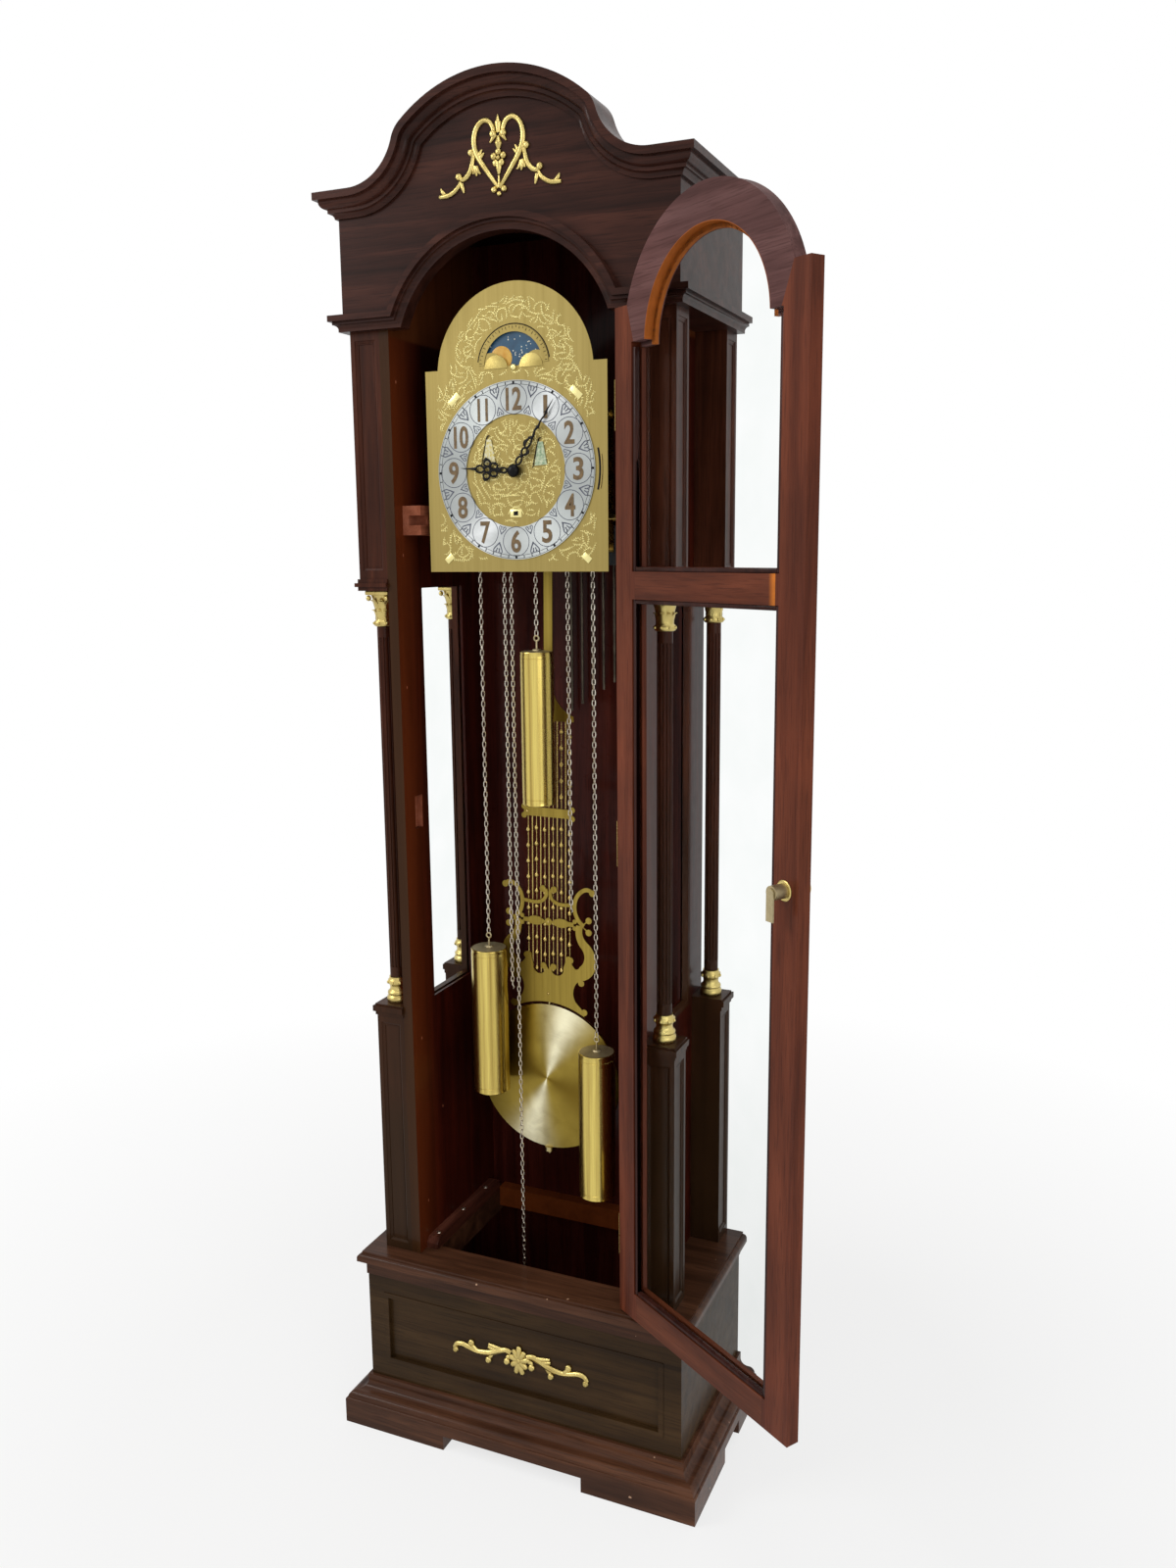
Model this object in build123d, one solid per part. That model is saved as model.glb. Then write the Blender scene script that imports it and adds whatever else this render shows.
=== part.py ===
from build123d import *
import os
from math import atan2, cos, degrees, hypot, radians, sin, sqrt

# Longcase clock: arched-pediment hood, four corner turrets, glazed door standing open.
# Millimetres, +Z up, front towards -Y.  The origin is on the floor at the middle of the case.
# Each sub-part is written to parts/NODE.step.

os.makedirs("parts", exist_ok=True)

# ---------------------------------------------------------------- driving dimensions
# case plan
WAIST_HALF = 183.5  # half the clear width between the waist walls
WALL_T = 15.5
WAIST_FRONT_Y = -104.0  # front edges of the walls, turrets and closed door
CASE_DEPTH = 262.0  # wall front to the back of the back board
BACK_T = 6.0
TURRET_W = 48.0
BASE_OVERHANG = 21.0  # base box beyond the turrets, at the sides
BASE_FORWARD = 24.0  # base box in front of the waist
FRIEZE_OVERHANG = 7.0  # hood beyond the turrets, at the sides
FRIEZE_FORWARD = 6.0  # frieze board in front of the waist

# heights, floor upwards
FOOT_H = 24.0
SKIRT_H = 52.0
BASE_H = 179.0  # base box, skirt top to cap
CAP_H = 40.0
PEDESTAL_H = 395.0
PEDESTAL_CAP_H = 18.0
COLUMN_BASE_H = 41.0
COLUMN_H = 545.0
CAPITAL_H = 53.0
NECK_H = 17.0
UPPER_POST_H = 347.0
FRIEZE_H = 151.0  # hood soffit to crown moulding
HOOD_SIDE_TOP = 23.0  # hood boards above the foot of the crown moulding

# base
BASE_BOARD_T = 18.0
SKIRT_OUT = 33.0
CAP_OUT = 13.0
FOOT_T = 30.0
FRONT_FOOT_LENGTH = 182.0
FRONT_FOOT_RETURN = 146.0
REAR_FOOT_LENGTH = 100.0
LEVELLER_R = 4.0
LEVELLER_DEPTH = 16.0
LEVELLER_INSET = 15.0  # from the outer faces of the front feet
BACK_BOARD_RISE = 4.0  # back board's foot above the skirt top
PANEL_SIDE = 28.0  # base board left beside the front panel
PANEL_BELOW = 28.0
PANEL_ABOVE = 28.0
PANEL_RECESS = 6.0
PANEL_T = 8.0
PANEL_BEAD = 8.0
PANEL_BEAD_PROUD = 1.0
WELL_MARGIN = 20.5  # sill left inside each wall, round the well in the base cap
WELL_FRONT = 32.0  # sill left behind the wall fronts

# floor cleats
CLEAT_H = 17.0
CLEAT_W = 20.0
CLEAT_FRONT_GAP = 1.0  # behind the closed door
BACK_CLEAT_H = 35.0
BACK_CLEAT_PROUD = 5.0

# side windows
WINDOW_FRONT = 69.0  # wall front to the sight opening
WINDOW_W = 123.0
WINDOW_BELOW = 2.0  # sight opening starts under the pedestal cap's top
WINDOW_ABOVE = 4.0  # and ends over the capital's top
WINDOW_LIP = 6.0
WINDOW_LIP_T = 4.5
GLASS_T = 3.0
WINDOW_BEAD_PROUD = 2.0

# strike mortise in the left wall
MORTISE_H = 51.0
MORTISE_W = 22.0
MORTISE_D = 10.0

# turrets
TURRET_PANEL_MARGIN = 6.0
TURRET_PANEL_END = 11.0
TURRET_PANEL_D = 3.0
PEDESTAL_CAP_OUT = 5.0
NECK_OUT = 6.0
COLUMN_R = 11.0
FLUTES = 12
FLUTE_R = 1.9
FLUTE_END = 16.0
COLUMN_BASE_R = 17.0
CAPITAL_TOP_HALF = 20.0
ABACUS_H = 6.0

# hood
FRIEZE_T = 18.0
HOOD_SIDE_T = 16.0
SOFFIT_T = 8.0
ROOF_T = 12.0
ROOF_DROP = 2.0  # roof board's top below the top of the hood boards
ARCH_R = 165.0
ARCH_DROP = 53.0  # arch centre below the hood soffit
ARCH_BAND = 22.0
ARCH_OUT = 16.0
DOME_R = 178.0
DOME_RISE = 124.0  # top of the dome above the foot of the crown moulding, along its base line
SWEEP_R = 109.0
SWEEP_INSET = 32.0  # from the end of the frieze to where the side curve starts
EAR_R = 8.0
CROWN_RISE = 33.0
CROWN_OUT = 26.0
CROWN_LIP = 10.0
CROWN_BACK = 20.0  # lip behind the frieze board

# door
DOOR_GAP = 2.0
DOOR_T = 19.0
DOOR_SILL_GAP = 4.0
DOOR_TOP_GAP = 3.0
HINGE_STILE_W = 42.0
LOCK_STILE_W = 48.0
BOTTOM_RAIL_H = 47.0
MID_RAIL_H = 48.0
MID_RAIL_DROP = 378.0  # hood soffit down to the mid rail's foot
HEAD_W = 52.0
HEAD_FOOT_DROP = 2.0  # head's foot below the arch centre
DOOR_REBATE = 6.0
PANE_GAP = 0.5
DOOR_REBATE_D = 12.0
DOOR_OPEN = 147.0
HINGE_FORWARD = 3.5  # hinge axis in front of the closed door
LEAF_T = 0.8
LEAF_W = 19.6
LEAF_H = 64.0
KNUCKLE_R = 3.3
KNUCKLES = 5
KNUCKLE_GAP = 0.3
PIN_R = 1.5
RUN_FIT = 0.05
HINGE_INSET = 120.0  # hinge middle from the door's foot and shoulder

# cam lock
LOCK_INSET = 24.0
LOCK_RISE = 716.0  # above the sill
BARREL_R = 9.0
BARREL_FLANGE_R = 11.0
BARREL_FLANGE_T = 2.0
BARREL_INSIDE = 20.0
SPINDLE_R = 3.0
CAM_LENGTH = 34.0
CAM_W = 12.0
CAM_T = 2.0
CAM_GAP = 0.3
KNOB_R = 13.0
KNOB_T = 12.0

# dial
DIAL_BACK = 25.0  # dial face behind the wall fronts
DIAL_HALF = 140.0
DIAL_T = 2.0
DIAL_DROP = 198.0  # hood soffit down to the hand centre
DIAL_FOOT = 139.0  # hand centre down to the dial's foot
DIAL_SHOULDER = 141.0
DIAL_ARCH_R = 120.0
DIAL_ARCH_SINK = 9.0
RING_OUT_R = 122.0
RING_IN_R = 77.0
RING_T = 1.5
MOON_R = 57.0
MOON_WINDOW_R = 54.0
MOON_HUMP_R = 19.0
MOON_HUMP_X = 35.0
MOON_T = 1.0
MOON_GAP = 0.6
MOON_ARBOR_R = 2.0

# hands
MINUTE_LENGTH = 108.0
HOUR_LENGTH = 84.0
HAND_T = 1.5
HAND_GAP = 1.5
MINUTE_ANGLE = 34.0  # clockwise from twelve
HOUR_ANGLE = 274.0
MINUTE_ARBOR_R = 2.0
HOUR_PIPE_R = 3.5

# movement
MOVEMENT_BACK = 54.0  # front plate behind the wall fronts
MOVEMENT_GAP = 54.0  # between the plates
PLATE_T = 3.0
PLATE_HALF = 112.0
PLATE_H = 200.0
PLATE_DROP = 113.0  # hand centre down to the plates' foot
PILLAR_R = 5.0
PILLAR_INSET = 8.0
DIAL_FOOT_R = 3.0
TONGUE_HALF = 18.0
SEAT_ROD_R = 4.0
SEAT_ROD_CLEAR = 0.3
SEAT_BLOCK_H = 42.0
SEAT_BLOCK_W = 30.0
SEAT_BLOCK_DEPTH = 110.0
SEAT_BLOCK_FRONT = 22.0
SEAT_NOTCH_H = 14.0
SEAT_NOTCH_D = 20.0
SEAT_LUG_W = 16.0
SEAT_LUG_H = 8.0
SEAT_ROD_DROP = 2.0  # seat rods below the sprocket axes

# chain drive
CHAIN_BACK = 84.0  # chain plane behind the wall fronts
SPROCKET_PITCH_R = 20.0
CHAIN_R = 2.5
CHAIN_SEAT_GAP = 0.3
FLANGE_R = 23.0
FLANGE_T = 1.5
FLANGE_GAP = 3.2
ARBOR_R = 3.0
SPROCKET_RISE = 50.0  # above the plates' foot
WEIGHT_SPREAD = 91.0
SIDE_WEIGHT_R = 28.5
CENTRE_WEIGHT_R = 25.0
SIDE_WEIGHT_H = 235.0
CENTRE_WEIGHT_H = 229.0
WEIGHT_HOOK_H = 23.0
WEIGHT_HOOK_R = 1.4
WEIGHT_EYE_R = 3.8
WEIGHT_FEET = {"left": 558.0, "centre": 1028.0, "right": 413.0}
FREE_ENDS = {"left": 742.0, "centre": 250.0, "right": 876.0}
CHAIN_SIDES = {"left": 1, "centre": -1, "right": -1}  # sprocket's side of the weight

# pendulum
PENDULUM_BACK = 134.0  # pendulum plane behind the wall fronts
SWING_RISE = 67.0  # swing axis above the hand centre
PENDULUM_LEAN = 0.75  # degrees off plumb in which the pendulum stands
STUD_R = 3.0
STUD_HEAD_R = 6.0
STUD_HEAD_T = 3.0
LEADER_W = 14.0
LEADER_T = 2.0
LEADER_TAIL = 379.0  # swing axis down to the crown's top
LEADER_LAP = 34.0  # leader behind the crown
CROWN_PLATE_H = 53.0
CROWN_PLATE_HALF = 43.0
CROWN_PLATE_END = 8.0  # upright ends of the crown plate
LYRE_PLATE_T = 2.0
GRID_RODS = 11
GRID_ROD_R = 2.0
GRID_PITCH = 7.1
ROD_LAP = 8.0  # rods behind the crown plate
CROSSBAR_DROP = 575.0
CROSSBAR_H = 14.0
CROSSBAR_HALF = 41.0
CROSSBAR_CURL_R = 4.5
LEAF_BAR_DROP = 750.0
LEAF_BAR_H = 14.4
LEAF_START = 5.0
LEAF_END = 39.0
LEAF_BOSS_R = 6.0
LEAF_TIP = (45.5, 5.5)
LEAF_TIP_R = 3.6
LYRE_BAND = 6.5
LYRE_BRACKET_BAND = 5.5
LYRE_CURL_R = 5.2
# right half of the lyre: points out from its middle and up from the leaf bar's middle
LYRE_SCROLL = [(61, 0), (51, 9), (45.5, 22), (45.5, 36), (52, 50), (66, 58.5), (75, 54)]
LYRE_FORK = (69.0, 9.6)
LYRE_BRACKET = [(46.0, 32.0), (25.0, 30.0), (11.0, 33.0), (3.5, 43.0), (5.0, 52.0)]
LYRE_BRACKET_CURL = (9.5, 53.0)
LYRE_NECK = (48.0, 60.0)  # inner and outer edge of the arm at the leaf bar
LYRE_ARM_IN = [(48.5, -22.0), (57.0, -37.0), (62.0, -53.0), (54.0, -67.0), (46.0, -72.0), (40.5, -65.0)]
LYRE_ARM_OUT = [(76.0, -77.0), (81.5, -56.0), (77.5, -40.0), (67.0, -27.0), (60.0, -18.0)]
LYRE_HIP = (60.0, -89.0)
LYRE_HIP_CURL = (56.5, -93.5)
LYRE_TOP = -78.0
LYRE_TOP_CURL = (8.5, -73.0)
LYRE_DIP = (15.0, -86.5)
LYRE_HORN = [(26.0, -73.0), (30.0, -60.0), (34.0, -52.5), (39.0, -54.0)]
LYRE_HORN_CURL = (38.0, -58.5)
LYRE_WAIST = [(50.0, -93.0), (43.0, -110.0), (47.0, -126.0)]
LYRE_FOOT_CURL = (62.0, -141.0)
ROD_FOOT_DROP = 92.0  # rods' lower ends below the leaf bar's middle
STEM_R = 2.0
STEM_LAP = 22.0  # bob's stem behind the lyre's body
BOB_DROP = 1008.0
BOB_R = 121.0
BOB_HALF_T = 11.0
BOB_RIM_T = 6.0
BOB_STEM = 5.0
RATING_TAIL = 12.0  # thread below the bob
RATING_NUT_R = 8.0
RATING_NUT_H = 7.0

# chimes
CHIME_X = 22.0
CHIME_DROP = 331.0  # hood soffit down to the block's foot
CHIME_BLOCK_W = 110.0
CHIME_BLOCK_D = 26.0
CHIME_BLOCK_H = 60.0
CHIME_RODS = 5
CHIME_ROD_R = 2.0
CHIME_LENGTH = 230.0
CHIME_STEP = 12.0

# cast mounts
FRIEZE_MOUNT_HALF = 93.0
FRIEZE_MOUNT_H = 102.0
FRIEZE_MOUNT_RISE = 54.0  # mount centre above the foot of the crown moulding
BASE_MOUNT_HALF = 118.0
BASE_MOUNT_H = 48.0
MOUNT_T = 4.0

# ---------------------------------------------------------------- derived planes
WALL_OUT = WAIST_HALF + WALL_T
TURRET_OUT = WALL_OUT + TURRET_W
BASE_HALF = TURRET_OUT + BASE_OVERHANG
FRIEZE_HALF = TURRET_OUT + FRIEZE_OVERHANG
BACK_Y = WAIST_FRONT_Y + CASE_DEPTH
BOARD_Y = BACK_Y - BACK_T
BASE_FRONT_Y = WAIST_FRONT_Y - BASE_FORWARD
FRIEZE_Y = WAIST_FRONT_Y - FRIEZE_FORWARD
FRIEZE_BACK_Y = FRIEZE_Y + FRIEZE_T

SKIRT_TOP = FOOT_H + SKIRT_H
CAP_Z = SKIRT_TOP + BASE_H
SILL_Z = CAP_Z + CAP_H
PEDESTAL_TOP = SILL_Z + PEDESTAL_H
COLUMN_BASE_Z = PEDESTAL_TOP + PEDESTAL_CAP_H
COLUMN_Z = COLUMN_BASE_Z + COLUMN_BASE_H
CAPITAL_Z = COLUMN_Z + COLUMN_H
NECK_Z = CAPITAL_Z + CAPITAL_H
POST_Z = NECK_Z + NECK_H
HOOD_Z = POST_Z + UPPER_POST_H
CROWN_Z = HOOD_Z + FRIEZE_H
HOOD_TOP = CROWN_Z + HOOD_SIDE_TOP
ROOF_Z = HOOD_TOP - ROOF_DROP - ROOF_T
ARCH_Z = HOOD_Z - ARCH_DROP

DOME_Z = CROWN_Z + DOME_RISE - DOME_R
SWEEP_X = FRIEZE_HALF - SWEEP_INSET
SWEEP_Z = CROWN_Z + SWEEP_R

HAND_Z = HOOD_Z - DIAL_DROP
DIAL_Y = WAIST_FRONT_Y + DIAL_BACK
DIAL_TOP_Z = HAND_Z + DIAL_SHOULDER
MOVEMENT_Y = WAIST_FRONT_Y + MOVEMENT_BACK
REAR_PLATE_Y = MOVEMENT_Y + PLATE_T + MOVEMENT_GAP
MOVEMENT_END_Y = REAR_PLATE_Y + PLATE_T
PLATE_Z = HAND_Z - PLATE_DROP
SPROCKET_Z = PLATE_Z + SPROCKET_RISE
CHAIN_Y = WAIST_FRONT_Y + CHAIN_BACK
PENDULUM_Y = WAIST_FRONT_Y + PENDULUM_BACK
SWING_Z = HAND_Z + SWING_RISE

DOOR_HALF = WAIST_HALF - DOOR_GAP
DOOR_BACK_Y = WAIST_FRONT_Y + DOOR_T
DOOR_Z = SILL_Z + DOOR_SILL_GAP
DOOR_SHOULDER = HOOD_Z - DOOR_TOP_GAP
HEAD_R = ARCH_R - DOOR_GAP
HEAD_INNER_R = HEAD_R - HEAD_W
HEAD_FOOT_Z = ARCH_Z - HEAD_FOOT_DROP
HINGE_X = WAIST_HALF - DOOR_GAP / 2
HINGE_Y = WAIST_FRONT_Y - HINGE_FORWARD
HINGE_AXIS = Axis((HINGE_X, HINGE_Y, 0), (0, 0, 1))
MID_RAIL_Z = HOOD_Z - MID_RAIL_DROP
STILE_IN_RIGHT = DOOR_HALF - HINGE_STILE_W
STILE_IN_LEFT = -DOOR_HALF + LOCK_STILE_W
LOCK_X = -DOOR_HALF + LOCK_INSET
LOCK_Z = SILL_Z + LOCK_RISE
CAM_Y = DOOR_BACK_Y + BARREL_INSIDE + CAM_GAP
DOOR_GLASS_Y = DOOR_BACK_Y - DOOR_REBATE_D

TURRET_X = WALL_OUT + TURRET_W / 2
TURRET_FRONT_Y = WAIST_FRONT_Y + TURRET_W / 2
TURRET_REAR_Y = BACK_Y - TURRET_W / 2
WELL_HALF = WAIST_HALF - WELL_MARGIN

WINDOW_Y = WAIST_FRONT_Y + WINDOW_FRONT
WINDOW_Z = COLUMN_BASE_Z - WINDOW_BELOW
WINDOW_TOP = NECK_Z + WINDOW_ABOVE
HOUR_Y = DIAL_Y - RING_T - HAND_GAP - HAND_T
MINUTE_Y = HOUR_Y - HAND_GAP - HAND_T
SEAT_FRONT_Y = MOVEMENT_Y - SEAT_ROD_CLEAR - SEAT_ROD_R
SEAT_REAR_Y = MOVEMENT_END_Y + SEAT_ROD_CLEAR + SEAT_ROD_R
SEAT_ROD_Z = SPROCKET_Z - SEAT_ROD_DROP
SEAT_BLOCK_Y = WAIST_FRONT_Y + SEAT_BLOCK_FRONT
CHIME_BLOCK_Z = HOOD_Z - CHIME_DROP

CROWN_PLATE_TOP = SWING_Z - LEADER_TAIL
CROWN_PLATE_Z = CROWN_PLATE_TOP - CROWN_PLATE_H
CROSSBAR_Z = SWING_Z - CROSSBAR_DROP
LEAF_BAR_Z = SWING_Z - LEAF_BAR_DROP
LYRE_Y = PENDULUM_Y - GRID_ROD_R
BOB_Z = SWING_Z - BOB_DROP
LYRE_FOOT_Z = BOB_Z + BOB_R + BOB_STEM


# ---------------------------------------------------------------- helpers
def block(x0, x1, y0, y1, z0, z1):
    """Block between two opposite corners."""
    return Pos((x0 + x1) / 2, (y0 + y1) / 2, (z0 + z1) / 2) * Box(x1 - x0, y1 - y0, z1 - z0)


def rod_x(radius, y, z, x0, x1):
    """Round bar along X."""
    return Pos((x0 + x1) / 2, y, z) * Rot(0, 90, 0) * Cylinder(radius, x1 - x0)


def rod_y(radius, x, z, y0, y1):
    """Round bar along Y."""
    return Pos(x, (y0 + y1) / 2, z) * Rot(90, 0, 0) * Cylinder(radius, y1 - y0)


def rod_z(radius, x, y, z0, z1):
    """Round bar along Z."""
    return Pos(x, y, (z0 + z1) / 2) * Cylinder(radius, z1 - z0)


def slab(sketch, y0, y1):
    """Plate between y0 and y1 with an outline drawn as (x, z)."""
    return extrude(Plane.XZ.offset(-y1) * sketch, amount=y1 - y0)


def outline(start, *steps):
    """Closed face from start; a step is a point, or (via, end) for an arc."""
    edges, here = [], start
    for step in steps:
        if isinstance(step[0], tuple):
            edges.append(ThreePointArc(here, step[0], step[1]))
            here = step[1]
        else:
            edges.append(Line(here, step))
            here = step
    if here != start:
        edges.append(Line(here, start))
    return make_face(edges)


def rectangle(x0, x1, z0, z1):
    """Rectangle between two opposite corners, as (x, z)."""
    return Pos((x0 + x1) / 2, (z0 + z1) / 2) * Rectangle(x1 - x0, z1 - z0)


def both_sides(shape):
    """The shape and its mirror image across the clock's middle plane."""
    return [shape, mirror(shape, about=Plane.YZ)]


def wrap(profile, half_width, front_y, back_y, z0):
    """Moulding round the front and both sides; the profile is drawn as (out, up)."""
    start = (-half_width, back_y, z0)
    corners = [start, (-half_width, front_y, z0), (half_width, front_y, z0), (half_width, back_y, z0)]
    section = Plane(origin=start, x_dir=(-1, 0, 0), z_dir=(0, 1, 0)) * profile
    return sweep(section, path=Polyline(*corners), transition=Transition.RIGHT)


def wrap_right(profile, start_x, half_width, front_y, back_y, z0):
    """Moulding from start_x along the front and back along the right side."""
    start = (start_x, front_y, z0)
    corners = [start, (half_width, front_y, z0), (half_width, back_y, z0)]
    section = Plane(origin=start, x_dir=(0, -1, 0), z_dir=(-1, 0, 0)) * profile
    return sweep(section, path=Polyline(*corners), transition=Transition.RIGHT)


def quarter(x, y, dx, dy, rises_first):
    """Step for outline: quarter round from (x, y) by (dx, dy), starting upright or level."""
    long, short = sin(radians(45)), 1 - sin(radians(45))
    via = (x + dx * short, y + dy * long) if rises_first else (x + dx * long, y + dy * short)
    return via, (x + dx, y + dy)


def write(name, shapes):
    """Write one solid or a group of separate solids to parts/NAME.step."""
    shapes = shapes if isinstance(shapes, list) else [shapes]
    solids = [solid for shape in shapes for solid in shape.solids()]
    group = solids[0] if len(solids) == 1 else Compound(children=solids)
    group.label = name
    export_step(group, f"parts/{name}.step")


def opened(shape):
    """Turn a piece of the closed door to its standing-open place."""
    return shape.rotate(HINGE_AXIS, DOOR_OPEN)


# ---------------------------------------------------------------- base
def base_carcass():
    """Front, sides and floor of the base; the front board holds the panel."""
    outer = block(-BASE_HALF, BASE_HALF, BASE_FRONT_Y, BACK_Y, FOOT_H, CAP_Z)
    inner_half = BASE_HALF - BASE_BOARD_T
    inner_y = BASE_FRONT_Y + BASE_BOARD_T
    floor_top = SKIRT_TOP + BACK_BOARD_RISE
    hollow = block(-inner_half, inner_half, inner_y, BACK_Y + 1, floor_top, CAP_Z + 1)
    under = block(-inner_half, inner_half, inner_y, BACK_Y + 1, FOOT_H - 1, floor_top - BASE_BOARD_T)
    window = slab(panel_outline(), BASE_FRONT_Y - 1, inner_y + 1)
    return outer - hollow - under - window


def panel_outline():
    """Opening of the base front as (x, z)."""
    half = BASE_HALF - PANEL_SIDE
    return rectangle(-half, half, SKIRT_TOP + PANEL_BELOW, CAP_Z - PANEL_ABOVE)


def base_front_panel():
    """Sunk panel with a bead round its edge."""
    half = BASE_HALF - PANEL_SIDE - PANEL_BEAD
    low = SKIRT_TOP + PANEL_BELOW + PANEL_BEAD
    high = CAP_Z - PANEL_ABOVE - PANEL_BEAD
    field_y = BASE_FRONT_Y + PANEL_RECESS
    board = slab(panel_outline(), field_y, field_y + PANEL_T)
    frame = panel_outline() - rectangle(-half, half, low, high)
    bead = slab(frame, BASE_FRONT_Y - PANEL_BEAD_PROUD, field_y)
    return board + bead


def skirt_profile():
    """Bead, ovolo and cove from the foot to the top fillet."""
    step = SKIRT_OUT / 11
    bead_top = SKIRT_H * 0.36
    ovolo = SKIRT_OUT * 0.3
    cove = SKIRT_OUT * 0.36
    ovolo_foot = (SKIRT_OUT - step, bead_top)
    ovolo_top = (ovolo_foot[0] - ovolo, bead_top + ovolo)
    cove_foot = (ovolo_top[0] - step, ovolo_top[1])
    return outline(
        (0, 0),
        (SKIRT_OUT, 0),
        (SKIRT_OUT, bead_top - step),
        ((SKIRT_OUT - step * 0.3, bead_top - step * 0.3), (SKIRT_OUT - step, bead_top)),
        quarter(*ovolo_foot, -ovolo, ovolo, True),
        cove_foot,
        quarter(*cove_foot, -cove, cove, False),
        (cove_foot[0] - cove, SKIRT_H),
        (0, SKIRT_H),
    )


def base_skirt():
    """Moulded plinth skirt round the front and sides."""
    return wrap(skirt_profile(), BASE_HALF, BASE_FRONT_Y, BACK_Y, FOOT_H)


def base_feet():
    """Two L-shaped front feet and two straight rear feet, each with a socket for a levelling glide."""
    out_x, out_y = BASE_HALF + SKIRT_OUT, BASE_FRONT_Y - SKIRT_OUT
    front = block(out_x - FRONT_FOOT_LENGTH, out_x, out_y, out_y + FOOT_T, 0, FOOT_H)
    front += block(out_x - FOOT_T, out_x, out_y, out_y + FRONT_FOOT_RETURN, 0, FOOT_H)
    brace = outline((0, 0), (FOOT_T, 0), (0, FOOT_T))
    inner = (out_x - FOOT_T, out_y + FOOT_T)
    front += extrude(Pos(*inner, 0) * Rot(0, 0, 90) * brace, amount=FOOT_H)
    rear = block(out_x - FOOT_T, out_x, BACK_Y - REAR_FOOT_LENGTH, BACK_Y, 0, FOOT_H)
    at_x, at_y = out_x - LEVELLER_INSET, out_y + LEVELLER_INSET
    front -= rod_z(LEVELLER_R, at_x, at_y, 0, LEVELLER_DEPTH)
    rear -= rod_z(LEVELLER_R, at_x, -at_y, 0, LEVELLER_DEPTH)
    return both_sides(front) + both_sides(rear)


def cap_profile():
    """Cove, nosing and set-back of the base cap's edge."""
    tip_z = CAP_H * 0.65
    cove = CAP_OUT * 0.7
    fillet_out = CAP_OUT * 0.15
    return outline(
        (0, 0),
        (fillet_out, 0),
        (fillet_out, tip_z - cove - fillet_out),
        quarter(fillet_out, tip_z - cove - fillet_out, cove, cove, True),
        (CAP_OUT, tip_z - fillet_out),
        (CAP_OUT, tip_z + fillet_out * 2),
        quarter(CAP_OUT, tip_z + fillet_out * 2, -CAP_OUT * 0.5, CAP_OUT * 0.5, True),
        (CAP_OUT * 0.5, CAP_H),
        (0, CAP_H),
    )


def base_cap():
    """Moulded cap of the base with the well that the weights drop into."""
    plate = block(-BASE_HALF, BASE_HALF, BASE_FRONT_Y, BACK_Y, CAP_Z, SILL_Z)
    plate += wrap(cap_profile(), BASE_HALF, BASE_FRONT_Y, BACK_Y, CAP_Z)
    well = block(-WELL_HALF, WELL_HALF, WAIST_FRONT_Y + WELL_FRONT, BACK_Y + 1, CAP_Z - 1, SILL_Z + 1)
    board_half = BASE_HALF - BASE_BOARD_T
    notch = block(-board_half, board_half, BOARD_Y, BACK_Y + 1, CAP_Z - 1, SILL_Z + 1)
    return plate - well - notch


def floor_cleats():
    """Cleats at the foot of each wall and along the back board."""
    front = DOOR_BACK_Y + CLEAT_FRONT_GAP
    inner = WAIST_HALF - CLEAT_W
    side = block(inner, WAIST_HALF, front, BOARD_Y - CLEAT_W, SILL_Z, SILL_Z + CLEAT_H)
    nose = side.edges().filter_by(Axis.X).group_by(Axis.Y)[0].sort_by(Axis.Z)[-1]
    side = chamfer(nose, CLEAT_H / 2)
    top = SILL_Z + BACK_CLEAT_PROUD
    back = block(-WELL_HALF, WELL_HALF, BOARD_Y - CLEAT_W, BOARD_Y, top - BACK_CLEAT_H, top)
    return both_sides(side) + [back]


# ---------------------------------------------------------------- waist
def back_board():
    """Back board, wide inside the base and narrow between the rear turrets."""
    low_half = BASE_HALF - BASE_BOARD_T
    shape = rectangle(-low_half, low_half, SKIRT_TOP + BACK_BOARD_RISE, SILL_Z)
    shape += rectangle(-WALL_OUT, WALL_OUT, SILL_Z, ROOF_Z)
    return slab(shape, BOARD_Y, BACK_Y)




def window_block(grow, x0, x1):
    """Block through the side window, grown all round."""
    y0, y1 = WINDOW_Y - grow, WINDOW_Y + WINDOW_W + grow
    return block(x0, x1, y0, y1, WINDOW_Z - grow, WINDOW_TOP + grow)


def wall_right():
    """Right wall, rebated outside for the window and cut back behind the frieze."""
    wall = block(WAIST_HALF, WALL_OUT, WAIST_FRONT_Y, BOARD_Y, SILL_Z, ROOF_Z)
    wall -= block(WAIST_HALF - 1, WALL_OUT + 1, WAIST_FRONT_Y - 1, FRIEZE_BACK_Y, HOOD_Z, ROOF_Z + 1)
    wall -= window_block(0, WAIST_HALF - 1, WALL_OUT + 1)
    return wall - window_block(WINDOW_LIP, WAIST_HALF + WINDOW_LIP_T, WALL_OUT + 1)


def wall_left():
    """Left wall, with the mortise that the cam lock turns into."""
    middle_y = CAM_Y + CAM_T / 2
    mortise = block(
        -WAIST_HALF - MORTISE_D,
        -WAIST_HALF + 1,
        middle_y - MORTISE_W / 2,
        middle_y + MORTISE_W / 2,
        LOCK_Z - MORTISE_H / 2,
        LOCK_Z + MORTISE_H / 2,
    )
    return mirror(wall_right(), about=Plane.YZ) - mortise


def side_glass():
    """Panes of the two side windows, against their lips."""
    x0 = WAIST_HALF + WINDOW_LIP_T
    return both_sides(window_block(WINDOW_LIP, x0, x0 + GLASS_T))


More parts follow.
